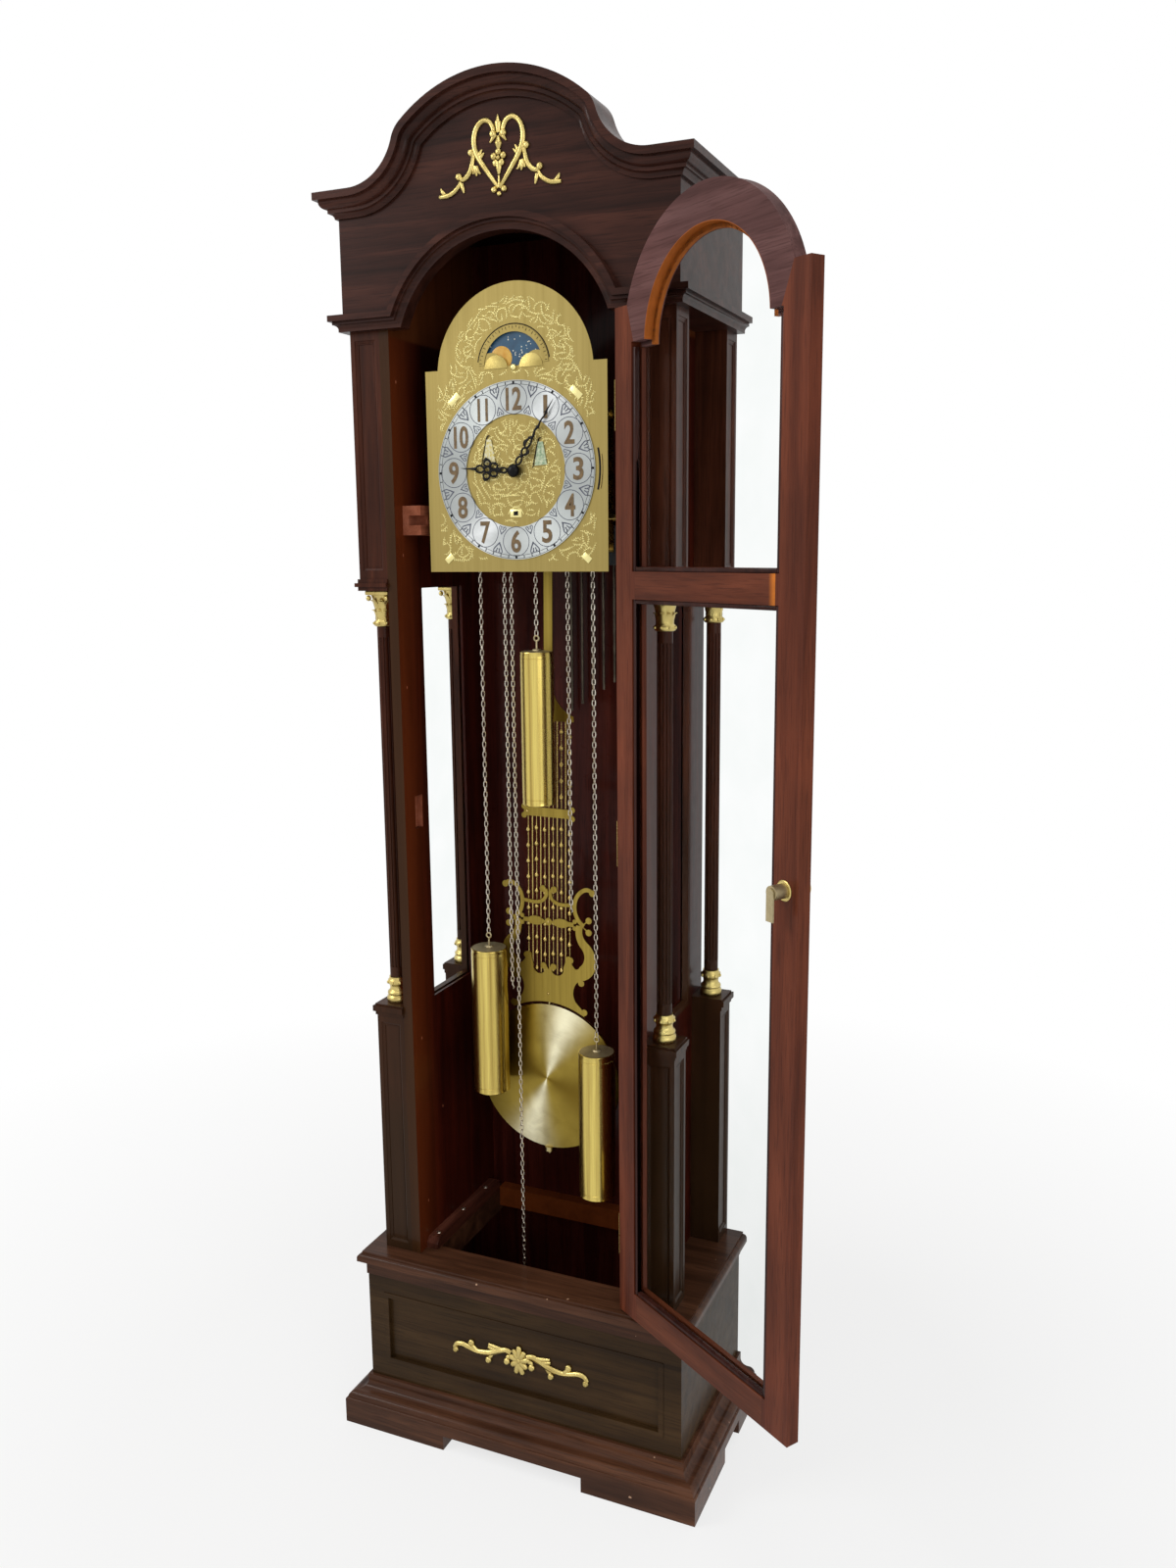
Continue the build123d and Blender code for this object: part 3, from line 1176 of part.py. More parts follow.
def weight_chain(name):
    """Loaded chain from the sprocket down to the weight's hook."""
    return rod_z(CHAIN_R, weight_x(name), CHAIN_Y, hook_top(name), SPROCKET_Z)


def free_chain(name):
    """Free end of the chain on the other side of the sprocket."""
    x = weight_x(name) + 2 * CHAIN_SIDES[name] * SPROCKET_PITCH_R
    return rod_z(CHAIN_R, x, CHAIN_Y, FREE_ENDS[name], SPROCKET_Z)


# ---------------------------------------------------------------- pendulum
def pendulum_leader():
    """Flat leader from the swing stud to the back of the crown plate."""
    half = LEADER_W / 2
    foot = CROWN_PLATE_TOP - LEADER_LAP
    shape = rectangle(-half, half, foot, SWING_Z) + Pos(0, SWING_Z) * Circle(half)
    shape -= Pos(0, SWING_Z) * Circle(STUD_R + RUN_FIT)
    return slab(shape, LYRE_Y, LYRE_Y + LEADER_T)


def crown_plate():
    """Ogee plate at the top of the grid, as (x, z)."""
    shoulder = CROWN_PLATE_Z + CROWN_PLATE_END
    via = (CROWN_PLATE_HALF / 2, (shoulder + CROWN_PLATE_TOP) / 2 - CROWN_PLATE_END)
    return outline(
        (-CROWN_PLATE_HALF, CROWN_PLATE_Z),
        (CROWN_PLATE_HALF, CROWN_PLATE_Z),
        (CROWN_PLATE_HALF, shoulder),
        (via, (LEADER_W / 2, CROWN_PLATE_TOP)),
        (-LEADER_W / 2, CROWN_PLATE_TOP),
        ((-via[0], via[1]), (-CROWN_PLATE_HALF, shoulder)),
    )


def curl(x, z, radius):
    """Round end of a scroll."""
    return Pos(x, z) * Circle(radius)


def crossbar():
    """Bar across the rods with a forked curl at each end, as (x, z)."""
    half_h = CROSSBAR_H / 2
    shape = rectangle(-CROSSBAR_HALF, CROSSBAR_HALF, CROSSBAR_Z - half_h, CROSSBAR_Z + half_h)
    for side in (-1, 1):
        for way in (-1, 1):
            shape += curl(side * CROSSBAR_HALF, CROSSBAR_Z + way * half_h, CROSSBAR_CURL_R)
    return shape


def from_leaf_bar(point):
    """Point of the lyre's right half as (x, z)."""
    return point[0], LEAF_BAR_Z + point[1]


def leaf_bar():
    """Bar of two long leaves with a round boss between them and a fork at each end, as (x, z)."""
    half_h = LEAF_BAR_H / 2
    middle = (LEAF_START + LEAF_END) / 2
    shape = curl(0, LEAF_BAR_Z, LEAF_BOSS_R)
    for side in (-1, 1):
        over = (side * middle, LEAF_BAR_Z + half_h)
        under = (side * middle, LEAF_BAR_Z - half_h)
        start, end = (side * LEAF_START, LEAF_BAR_Z), (side * LEAF_END, LEAF_BAR_Z)
        shape += outline(start, (over, end), (under, start))
        x0, x1 = sorted((side * (LEAF_END - LYRE_BAND), side * (LEAF_TIP[0] - LEAF_TIP_R / 2)))
        shape += rectangle(x0, x1, LEAF_BAR_Z - LEAF_TIP_R, LEAF_BAR_Z + LEAF_TIP_R)
        for way in (-1, 1):
            shape += curl(side * LEAF_TIP[0], LEAF_BAR_Z + way * LEAF_TIP[1], LEAF_TIP_R)
    return shape


def lyre_body():
    """Right half of the lyre's body as (x, z): dip and horn at the top, waist and flared foot."""
    dip_end, horn_in, horn_top, horn_out = [from_leaf_bar(point) for point in LYRE_HORN]
    waist_top, waist, waist_foot = [from_leaf_bar(point) for point in LYRE_WAIST]
    top = LEAF_BAR_Z + LYRE_TOP
    neck = LYRE_TOP_CURL[0] / 2
    foot = from_leaf_bar(LYRE_FOOT_CURL)
    return outline(
        (0, BOB_Z),
        (0, top),
        (neck, top + LYRE_BAND),
        (neck * 1.5, top - LYRE_BAND / 2),
        (from_leaf_bar(LYRE_DIP), dip_end),
        horn_in,
        (horn_top, horn_out),
        from_leaf_bar(LYRE_ARM_IN[-1]),
        from_leaf_bar(LYRE_HIP),
        waist_top,
        (waist, waist_foot),
        foot,
        (foot[0], BOB_Z),
    )


def lyre_arm():
    """Right arm as (x, z): up from the hip, in to the leaf bar's fork and out again to the upper scroll."""
    elbow, bulge, bulge_via, hook, hook_via, horn = [from_leaf_bar(point) for point in LYRE_ARM_IN]
    hip_via, hip_out, shoulder_via, shoulder, neck_via = [from_leaf_bar(point) for point in LYRE_ARM_OUT]
    shape = outline(
        (LYRE_NECK[0], LEAF_BAR_Z),
        (elbow, bulge),
        (bulge_via, hook),
        (hook_via, horn),
        from_leaf_bar((2 * LYRE_DIP[0], LYRE_HIP[1])),
        from_leaf_bar(LYRE_HIP),
        (hip_via, hip_out),
        (shoulder_via, shoulder),
        (neck_via, (LYRE_NECK[1], LEAF_BAR_Z)),
    )
    path = [from_leaf_bar(point) for point in LYRE_SCROLL]
    shape += trace(Spline(*path), line_width=LYRE_BAND)
    shape += curl(*path[-1], LYRE_CURL_R)
    for way in (-1, 1):
        x, z = LYRE_FORK[0], LEAF_BAR_Z + way * LYRE_FORK[1]
        shape += outline((LYRE_NECK[1] - LYRE_BAND / 2, LEAF_BAR_Z), (x, z + 2), (x, z - 2))
        shape += curl(x, z, LYRE_CURL_R)
    return shape


def lyre_bracket():
    """Right half of the bracket between the arms as (x, z), curling up at the middle."""
    path = [from_leaf_bar(point) for point in LYRE_BRACKET]
    shape = trace(Spline(*path), line_width=LYRE_BRACKET_BAND)
    return shape + curl(*from_leaf_bar(LYRE_BRACKET_CURL), LYRE_CURL_R)


def leaning(shape):
    """Shape of the pendulum, swung as far as it stands at rest."""
    return Pos(0, 0, SWING_Z) * Rot(0, PENDULUM_LEAN, 0) * Pos(0, 0, -SWING_Z) * shape


def pendulum_lyre():
    """Crown plate, crossbar and lyre, cut from sheet and pinned to the front of the rods."""
    half = lyre_body() + lyre_arm() + lyre_bracket()
    for place in (LYRE_HORN_CURL, LYRE_TOP_CURL, LYRE_HIP_CURL, LYRE_FOOT_CURL):
        half += curl(*from_leaf_bar(place), LYRE_CURL_R)
    lyre = half + mirror(half, about=Plane.YZ) + leaf_bar()
    lyre -= Pos(0, BOB_Z) * Circle(BOB_R + BOB_STEM)
    y0 = LYRE_Y - LYRE_PLATE_T
    return [slab(shape, y0, LYRE_Y) for shape in (crown_plate(), crossbar(), lyre)]


def pendulum_rods():
    """Grid rods behind the plates, from the crown plate to the lyre's body."""
    top = CROWN_PLATE_Z + ROD_LAP
    foot = LEAF_BAR_Z - ROD_FOOT_DROP
    places = [(index - (GRID_RODS - 1) / 2) * GRID_PITCH for index in range(GRID_RODS)]
    return [rod_z(GRID_ROD_R, x, PENDULUM_Y, foot, top) for x in places]


def pendulum_bob():
    """Lens-shaped bob with its stem, thread and rating nut."""
    rim = BOB_RIM_T / 2
    rise = BOB_HALF_T - rim
    sphere_r = (BOB_R**2 + rise**2) / (2 * rise)
    via = (BOB_R / 2, BOB_HALF_T - sphere_r + sqrt(sphere_r**2 - BOB_R**2 / 4))
    back, front = (0, BOB_HALF_T), (0, -BOB_HALF_T)
    profile = outline(front, ((via[0], -via[1]), (BOB_R, -rim)), (BOB_R, rim), (via, back))
    bob = Pos(0, PENDULUM_Y, BOB_Z) * revolve(profile, axis=Axis.Y)
    bob += rod_z(STEM_R, 0, PENDULUM_Y, BOB_Z + BOB_R - BOB_STEM, LYRE_FOOT_Z + STEM_LAP)
    tail = BOB_Z - BOB_R - RATING_TAIL
    bob += rod_z(STEM_R * 0.8, 0, PENDULUM_Y, tail, BOB_Z - BOB_R + BOB_STEM)
    return bob + rod_z(RATING_NUT_R, 0, PENDULUM_Y, tail + RATING_TAIL - RATING_NUT_H, tail + RATING_TAIL)


# ---------------------------------------------------------------- chimes


def chime_x(index):
    """Place of a chime rod across the block."""
    return CHIME_X + (index - (CHIME_RODS - 1) / 2) * CHIME_BLOCK_W / (CHIME_RODS + 1)


def chime_block():
    """Iron block on the back board."""
    x0 = CHIME_X - CHIME_BLOCK_W / 2
    top = CHIME_BLOCK_Z + CHIME_BLOCK_H
    return block(x0, x0 + CHIME_BLOCK_W, BOARD_Y - CHIME_BLOCK_D, BOARD_Y, CHIME_BLOCK_Z, top)


def chime_rods():
    """Chime rods hanging from the block, each a step shorter."""
    y = BOARD_Y - CHIME_BLOCK_D / 2
    return [
        rod_z(CHIME_ROD_R, chime_x(i), y, CHIME_BLOCK_Z - CHIME_LENGTH + CHIME_STEP * i, CHIME_BLOCK_Z)
        for i in range(CHIME_RODS)
    ]


# ---------------------------------------------------------------- parts
write("base_carcass", base_carcass())
write("base_front_panel", base_front_panel())
write("base_skirt", base_skirt())
write("base_feet", base_feet())
write("base_cap", base_cap())
write("base_applique", cast_mount(
    BASE_MOUNT_HALF, BASE_MOUNT_H, (SKIRT_TOP + PANEL_BELOW + CAP_Z - PANEL_ABOVE) / 2,
    BASE_FRONT_Y + PANEL_RECESS, 5))
write("floor_cleats", floor_cleats())
write("back_board", back_board())
write("wall_left", wall_left())
write("wall_right", wall_right())
write("side_glass", side_glass())
write("window_beads", window_beads())
write("turret_pedestals", turret_pedestals())
write("turret_columns", turret_columns())
write("turret_posts", turret_posts())
write("column_mounts", column_mounts())
write("frieze_board", frieze_board())
write("arch_moulding", arch_moulding())
write("crown_moulding", crown_moulding())
write("hood_sides", hood_sides())
write("roof_board", roof_board())
write("frieze_applique", cast_mount(
    FRIEZE_MOUNT_HALF, FRIEZE_MOUNT_H, CROWN_Z + FRIEZE_MOUNT_RISE, FRIEZE_Y, 3))

write("door_hinge_stile", opened(stile(1, STILE_IN_RIGHT)))
write("door_lock_stile", opened(door_lock_stile()))
write("door_arch_head", opened(door_arch_head()))
write("door_mid_rail", opened(door_rail(MID_RAIL_Z, MID_RAIL_H)))
write("door_bottom_rail", opened(door_rail(DOOR_Z, BOTTOM_RAIL_H)))
write("door_glass_upper", opened(door_pane(glass_outline_upper(DOOR_REBATE - PANE_GAP))))
write("door_glass_lower", opened(door_pane(glass_outline_lower(DOOR_REBATE - PANE_GAP))))
write("hinge_case_leaves", hinge_case_leaves())
write("hinge_door_leaves", hinge_door_leaves())
write("lock_barrel", opened(lock_barrel()))
write("lock_cam", opened(lock_cam()))
write("door_knob", opened(door_knob()))

write("dial_plate", dial_plate())
write("chapter_ring", chapter_ring())
write("moon_disc", moon_disc())
write("hour_hand", hour_hand())
write("minute_hand", minute_hand())
write("movement_frame", movement_frame())
write("seat_blocks", seat_blocks())
write("seat_rods", seat_rods())
for place in CHAIN_SIDES:
    write(f"sprocket_{place}", sprocket(place))
    write(f"weight_{place}", weight(place))
    write(f"weight_chain_{place}", weight_chain(place))
    write(f"free_chain_{place}", free_chain(place))

write("pendulum_leader", leaning(pendulum_leader()))
write("pendulum_lyre", [leaning(shape) for shape in pendulum_lyre()])
write("pendulum_rods", [leaning(shape) for shape in pendulum_rods()])
write("pendulum_bob", leaning(pendulum_bob()))
write("chime_block", chime_block())
write("chime_rods", chime_rods())
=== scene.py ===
import logging
import math
import random
from dataclasses import dataclass, field
from enum import Enum
from functools import lru_cache
from typing import Any, Optional, Sequence

import bmesh
import bpy
from mathutils import Matrix, Vector


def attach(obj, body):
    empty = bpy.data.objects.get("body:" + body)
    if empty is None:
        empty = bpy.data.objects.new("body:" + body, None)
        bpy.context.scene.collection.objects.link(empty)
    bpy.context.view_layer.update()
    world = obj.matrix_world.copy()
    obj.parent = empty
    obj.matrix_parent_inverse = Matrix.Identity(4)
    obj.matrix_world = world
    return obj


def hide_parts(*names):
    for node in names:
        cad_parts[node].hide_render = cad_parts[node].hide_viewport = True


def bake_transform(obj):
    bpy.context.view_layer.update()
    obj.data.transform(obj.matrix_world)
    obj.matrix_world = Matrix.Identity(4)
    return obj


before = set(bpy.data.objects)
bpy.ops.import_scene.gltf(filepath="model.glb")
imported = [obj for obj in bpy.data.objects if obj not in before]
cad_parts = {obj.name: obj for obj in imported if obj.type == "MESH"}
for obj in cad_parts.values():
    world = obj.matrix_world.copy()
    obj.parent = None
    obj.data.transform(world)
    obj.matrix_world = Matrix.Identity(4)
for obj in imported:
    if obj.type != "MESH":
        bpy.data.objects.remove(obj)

LOG = logging.getLogger("longcase_clock")
MM = 0.001
Point = Sequence[float]
Colour = tuple[float, float, float]
Socket = bpy.types.NodeSocket
BMEdge = bmesh.types.BMEdge
BMVert = bmesh.types.BMVert

# Waves per metre across and along the grain or the brushing, and out from a turned centre.
WOOD_FIGURE = (46.0, 2.6)
WOOD_PORES = (520.0, 22.0)
BRUSHED_LINES = (1500.0, 14.0)
BRUSHED_STREAKS = (150.0, 1.5)
SPUN_RINGS = 900.0


def srgb(red: int, green: int, blue: int) -> Colour:
    """Turn an 8-bit screen colour into Blender's linear colour.

    Args:
        red: Red, 0 to 255.
        green: Green, 0 to 255.
        blue: Blue, 0 to 255.

    Returns:
        The linear red, green and blue.
    """
    channels = [value / 255 for value in (red, green, blue)]
    return tuple(c / 12.92 if c <= 0.04045 else ((c + 0.055) / 1.055) ** 2.4 for c in channels)


# ---------------------------------------------------------------- materials


class Lie(Enum):
    """Which way grain or brushing runs, as the number of its axis."""

    ACROSS = 0
    DEEP = 1
    UP = 2


class Marks(Enum):
    """How a metal surface was worked."""

    CAST = "cast"
    BRUSHED = "brushed"
    SPUN = "spun"
    POLISHED = "polished"


class Graph:
    """A node material being wired round one Principled shader."""

    def __init__(self, name: str, **constants: Any) -> None:
        """Start a material.

        Args:
            name: Name of the material.
            constants: Shader sockets and their fixed values, with _ for a space.
        """
        self.material = bpy.data.materials.new(name)
        self.material.use_nodes = True
        self.tree = self.material.node_tree
        self.shader = self.tree.nodes["Principled BSDF"]
        self.output = self.tree.nodes["Material Output"]
        for socket, value in constants.items():
            self.shader.inputs[socket.replace("_", " ")].default_value = value
        self.object_coords = self.node("ShaderNodeTexCoord").outputs["Object"]

    def node(self, kind: str, inputs: Optional[dict[Any, Any]] = None, **settings: Any) -> bpy.types.Node:
        """Add a node.

        Args:
            kind: Blender's type name of the node.
            inputs: Sockets by name or number, each with a value or an output to link.
            settings: Properties of the node.

        Returns:
            The new node.
        """
        made = self.tree.nodes.new(kind)
        for key, value in settings.items():
            setattr(made, key, value)
        for key, value in (inputs or {}).items():
            if isinstance(value, Socket):
                self.tree.links.new(value, made.inputs[key])
            else:
                made.inputs[key].default_value = value
        return made

    def place(self, location: Point = (0, 0, 0), turn: float = 0.0) -> Socket:
        """Object coordinates, turned about Z in radians, then moved in metres."""
        wiring = {"Vector": self.object_coords, "Location": location, "Rotation": (0, 0, turn)}
        return self.node("ShaderNodeMapping", wiring).outputs[0]

    def stretched(self, vector: Socket, across: float, along: float, lie: Lie = Lie.UP) -> Socket:
        """The vector scaled by across, but by along on the axis that the grain follows."""
        scale = [along if axis is lie else across for axis in Lie]
        return self.node("ShaderNodeMapping", {"Vector": vector, "Scale": scale}).outputs[0]

    def noise(self, vector: Socket, scale: float, detail: float = 3.0, distortion: float = 0.0) -> Socket:
        """Soft noise, with its scale in waves per metre and its detail in octaves."""
        wiring = {"Vector": vector, "Scale": scale, "Detail": detail, "Distortion": distortion}
        return self.node("ShaderNodeTexNoise", wiring).outputs[0]

    def math(self, operation: str, first: Any, second: Any = 0.0) -> Socket:
        """One sum of two values or outputs, by Blender's name of the operation."""
        return self.node("ShaderNodeMath", {0: first, 1: second}, operation=operation).outputs[0]

    def length(self, first: Socket, second: Socket) -> Socket:
        """Length of a flat vector, from its two parts."""
        squares = self.math("ADD", self.math("MULTIPLY", first, first), self.math("MULTIPLY", second, second))
        return self.math("SQRT", squares)

    def remap(self, value: Socket, low: float, high: float, new_low: float = 0.0,
              new_high: float = 1.0) -> Socket:
        """Map the range from low to high onto another one, clamped."""
        wiring = {"Value": value, "From Min": low, "From Max": high, "To Min": new_low, "To Max": new_high}
        return self.node("ShaderNodeMapRange", wiring).outputs[0]

    def ramp(self, factor: Socket, stops: Sequence[tuple[float, Colour]]) -> Socket:
        """Colour ramp.

        Args:
            factor: Place on the ramp.
            stops: Places and colours in order.

        Returns:
            The colour output.
        """
        made = self.node("ShaderNodeValToRGB", {0: factor})
        elements = made.color_ramp.elements
        while len(elements) < len(stops):
            elements.new(0.5)
        for element, (place, colour) in zip(elements, stops):
            element.position = place
            element.color = (*colour, 1)
        return made.outputs[0]

    def mix(self, factor: Any, first: Any, second: Any, blend: str = "MIX") -> Socket:
        """Blend two colours.

        Args:
            factor: Share of the second.
            first: Colour or output.
            second: Colour or output.
            blend: Blender's name of the blending.

        Returns:
            The colour output.
        """
        pair = [(*c, 1) if isinstance(c, tuple) else c for c in (first, second)]
        wiring = {0: factor, 6: pair[0], 7: pair[1]}
        return self.node("ShaderNodeMix", wiring, data_type="RGBA", blend_type=blend).outputs[2]

    def split(self, vector: Socket) -> tuple[Socket, ...]:
        """The three parts of a vector."""
        return tuple(self.node("ShaderNodeSeparateXYZ", {0: vector}).outputs)

    def bump(self, height: Socket, distance: float, strength: float = 1.0) -> None:
        """Raise the surface by height times distance, in metres."""
        wiring = {"Height": height, "Distance": distance, "Strength": strength}
        self.link(self.node("ShaderNodeBump", wiring).outputs[0], "Normal")

    def link(self, value: Socket, socket: str) -> None:
        """Link an output to a socket of the shader."""
        self.tree.links.new(value, self.shader.inputs[socket])


@dataclass(frozen=True)
class Finish:
    """What a piece is made of."""

    name: str

    def build(self) -> bpy.types.Material:
        """Wire the material."""
        raise NotImplementedError

    def dress(self, obj: bpy.types.Object) -> None:
        """Give the finish to an object, in each slot that it has.

        Args:
            obj: Object to dress.
        """
        material = made_material(self)
        if not obj.material_slots:
            obj.data.materials.append(material)
        for place in obj.material_slots:
            place.material = material


@lru_cache(maxsize=None)
def made_material(finish: Finish) -> bpy.types.Material:
    """The one material of a finish."""
    return finish.build()


@dataclass(frozen=True)
class Zone:
    """Another colour on a stretch of a wooden piece, in metres; a real stained colour on most pieces and
    painted light at the front of the waist walls.

    It lies along one axis, or round the height round_z, and starts behind the depth behind.
    """

    lie: Lie
    start: float
    end: float
    colour: Colour
    round_z: Optional[float] = None
    behind: Optional[float] = None
    soft: float = 0.0006

    def factor(self, graph: Graph, coords: Socket, wander: Socket) -> Socket:
        """Share of the zone's colour, which is a real stained colour on most pieces and painted light on the
        waist walls.

        Args:
            graph: Material being wired.
            coords: Coordinates in metres.
            wander: Noise that makes the border uneven.

        Returns:
            A value from 0 to 1.
        """
        parts = graph.split(coords)
        if self.round_z is None:
            along = parts[self.lie.value]
        else:
            along = graph.length(parts[0], graph.math("SUBTRACT", parts[2], self.round_z))
        reach = abs(self.end - self.start) * 0.5
        drift = graph.math("MULTIPLY", graph.math("SUBTRACT", wander, 0.5), reach)
        share = graph.remap(graph.math("ADD", along, drift), self.start, self.end)
        if self.behind is None:
            return share
        return graph.math("MULTIPLY", share, graph.remap(parts[1], self.behind, self.behind + self.soft))


@dataclass(frozen=True)
class Wood(Finish):
    """Stained and lacquered hardwood with streaked figure and open pores."""

    dark: Colour
    mid: Colour
    light: Colour
    lie: Lie = Lie.UP
    roughness: float = 0.34
    coat: float = 0.1
    sheen: float = 0.06
    zones: tuple[Zone, ...] = ()
    specks: float = 0.0
    on_door: bool = False

    def build(self) -> bpy.types.Material:
        """Wire the wood.

        Returns:
            The material.
        """
        graph = Graph(
            self.name, Coat_Weight=self.coat, Coat_Roughness=0.12, IOR=1.5, Specular_IOR_Level=self.sheen
        )
        coords = graph.place(Door.closing_shift(), -Door.OPEN) if self.on_door else graph.place()
        figure = graph.noise(graph.stretched(coords, *WOOD_FIGURE, self.lie), 1.0, 5.0, 0.7)
        pores = graph.noise(graph.stretched(coords, *WOOD_PORES, self.lie), 1.0, 2.0)
        cloud = graph.noise(coords, 5.0, 3.0, 0.4)
        colour = graph.ramp(figure, [(0.28, self.dark), (0.5, self.mid), (0.74, self.light)])
        colour = graph.mix(graph.remap(pores, 0.52, 0.66, 0.0, 0.55), colour, self.dark)
        shade = graph.ramp(cloud, [(0.3, (0.72, 0.72, 0.72)), (0.7, (1.15, 1.12, 1.1))])
        colour = graph.mix(1.0, colour, shade, "MULTIPLY")
        for zone in self.zones:
            # A zone's colour is a real stained colour, apart from the painted light at the front of the waist
            # walls.
            stain_or_painted_light = graph.mix(1.0, zone.colour, graph.remap(figure, 0.25, 0.75, 0.75, 1.15), "MULTIPLY")
            colour = graph.mix(zone.factor(graph, coords, cloud), colour, stain_or_painted_light)
        if self.specks:
            worn = graph.remap(graph.noise(coords, 95.0, 1.0), 0.80 - self.specks, 0.82 - self.specks)
            colour = graph.mix(worn, colour, CHIPPED_WOOD)
        graph.link(colour, "Base Color")
        spread = graph.math("MULTIPLY", graph.noise(coords, 60.0, 4.0), 0.16)
        graph.link(graph.math("ADD", self.roughness - 0.08, spread), "Roughness")
        relief = graph.math("ADD", graph.math("MULTIPLY", pores, -0.6), graph.math("MULTIPLY", figure, 0.4))
        graph.bump(relief, 0.0004, 0.5)
        return graph.material


@dataclass(frozen=True)
class Metal(Finish):
    """Brass, steel or silvered metal, brushed upwards, spun round a centre, cast or polished."""

    bright: Colour
    dull: Colour
    roughness: float = 0.28
    marks: Marks = Marks.POLISHED
    centre: tuple[float, float] = (0.0, 0.0)
    tarnish: float = 0.5
    coarseness: float = 1.0
    # Directions in degrees of a painted highlight bow-tie and a painted shade bow-tie, and the painted
    # highlight's colour.
    wedges: Optional[tuple[float, float]] = None
    glint: Colour = (0.96, 0.9, 0.62)

    def build(self) -> bpy.types.Material:
        """Wire the metal.

        Returns:
            The material.
        """
        graph = Graph(self.name, Metallic=1.0, Anisotropic=0.85 if self.marks is Marks.SPUN else 0.0)
        coords = graph.place()
        bright = self.bright
        blotch = graph.noise(coords, 34.0, 5.0, 0.5)
        if self.marks is Marks.BRUSHED:
            lines = graph.noise(graph.stretched(coords, *BRUSHED_LINES), 1.0, 2.0)
            graph.bump(lines, 0.00006, 0.5)
            blotch = graph.noise(graph.stretched(coords, *BRUSHED_STREAKS), 1.0, 3.0)
        elif self.marks is Marks.SPUN:
            parts = graph.split(graph.place((-self.centre[0], 0, -self.centre[1])))
            radius = graph.math("MULTIPLY", graph.length(parts[0], parts[2]), SPUN_RINGS * self.coarseness)
            lines = graph.noise(graph.node("ShaderNodeCombineXYZ", {0: radius}).outputs[0], 1.0, 3.0)
            graph.bump(lines, 0.00002, 0.3)
            outwards = graph.node("ShaderNodeCombineXYZ", {0: parts[0], 2: parts[2]}).outputs[0]
            spoke = graph.node("ShaderNodeVectorMath", {0: outwards}, operation="NORMALIZE").outputs[0]
            graph.link(spoke, "Tangent")
            # Painted highlight in the first bow-tie and painted shade in the second, as turned metal would
            # reflect them.
            if self.wedges:
                bright = graph.mix(self.wedge(graph, spoke, self.wedges[0], 26.0), self.bright, self.glint)
                bright = graph.mix(self.wedge(graph, spoke, self.wedges[1], 5.0), bright, self.dull)
        elif self.marks is Marks.CAST:
            lines = graph.noise(coords, 900.0, 3.0)
            graph.bump(graph.math("ADD", blotch, lines), 0.0004, 0.6)
        else:
            lines = graph.noise(coords, 420.0, 3.0)
            graph.bump(lines, 0.00003, 0.4)
        wear = graph.math("ADD", graph.math("MULTIPLY", blotch, 0.7), graph.math("MULTIPLY", lines, 0.3))
        share = graph.remap(wear, 0.38, 0.68, 0.0, self.tarnish)
        graph.link(graph.mix(share, bright, self.dull), "Base Color")
        spread = graph.math("MULTIPLY", graph.math("ADD", blotch, lines), 0.16)
        graph.link(graph.math("ADD", spread, self.roughness - 0.16), "Roughness")
        return graph.material

    def wedge(self, graph: Graph, spoke: Socket, degrees: float, keen: float) -> Socket:
        """Bow-tie shaped share round the centre, where a painted highlight or painted shade stands in for the
        reflections of turned brass.

        Args:
            graph: Material being wired.
            spoke: Direction out from the centre.
            degrees: Direction of the bow-tie.
            keen: How narrow it is.

        Returns:
            A value from 0 to 1.
        """
        way = (math.cos(math.radians(degrees)), 0.0, math.sin(math.radians(degrees)))
        product = graph.node("ShaderNodeVectorMath", {0: spoke, 1: way}, operation="DOT_PRODUCT")
        return graph.math("POWER", graph.math("ABSOLUTE", product.outputs["Value"]), keen)


@dataclass(frozen=True)
class Paint(Finish):
    """Enamel, ink or lacquer."""

    colour: Colour
    other: Colour
    roughness: float = 0.4
    grain: float = 160.0
    coat: float = 0.15
    sheen: float = 0.5

    def build(self) -> bpy.types.Material:
        """Wire the paint.

        Returns:
            The material.
        """
        graph = Graph(self.name, Coat_Weight=self.coat, Specular_IOR_Level=self.sheen)
        coords = graph.place()
        mottle = graph.noise(coords, self.grain, 4.0, 0.3)
        graph.link(graph.ramp(mottle, [(0.3, self.colour), (0.7, self.other)]), "Base Color")
        graph.link(graph.remap(mottle, 0.2, 0.8, self.roughness - 0.08, self.roughness + 0.08), "Roughness")
        graph.bump(mottle, 0.00005, 0.3)
        return graph.material


@dataclass(frozen=True)
class Pane(Finish):
    """Clear glass with a faint film of dust."""

    tint: Colour

    def build(self) -> bpy.types.Material:
        """Wire the glass, which casts almost no shadow.

        Returns:
            The material.
        """
        graph = Graph(self.name, Transmission_Weight=1.0, IOR=1.0, Roughness=0.0)
        film = graph.noise(graph.place(), 14.0, 4.0)
        graph.link(graph.ramp(film, [(0.35, self.tint), (0.7, (0.97, 0.985, 0.98))]), "Base Color")
        clear = graph.node("ShaderNodeBsdfTransparent", {0: (0.93, 0.95, 0.94, 1)})
        path = graph.node("ShaderNodeLightPath")
        soft_rays = graph.math("MAXIMUM", path.outputs["Is Shadow Ray"], path.outputs["Is Diffuse Ray"])
        wiring = {0: soft_rays, 1: graph.shader.outputs[0], 2: clear.outputs[0]}
        blend = graph.node("ShaderNodeMixShader", wiring)
        graph.tree.links.new(blend.outputs[0], graph.output.inputs[0])
        return graph.material


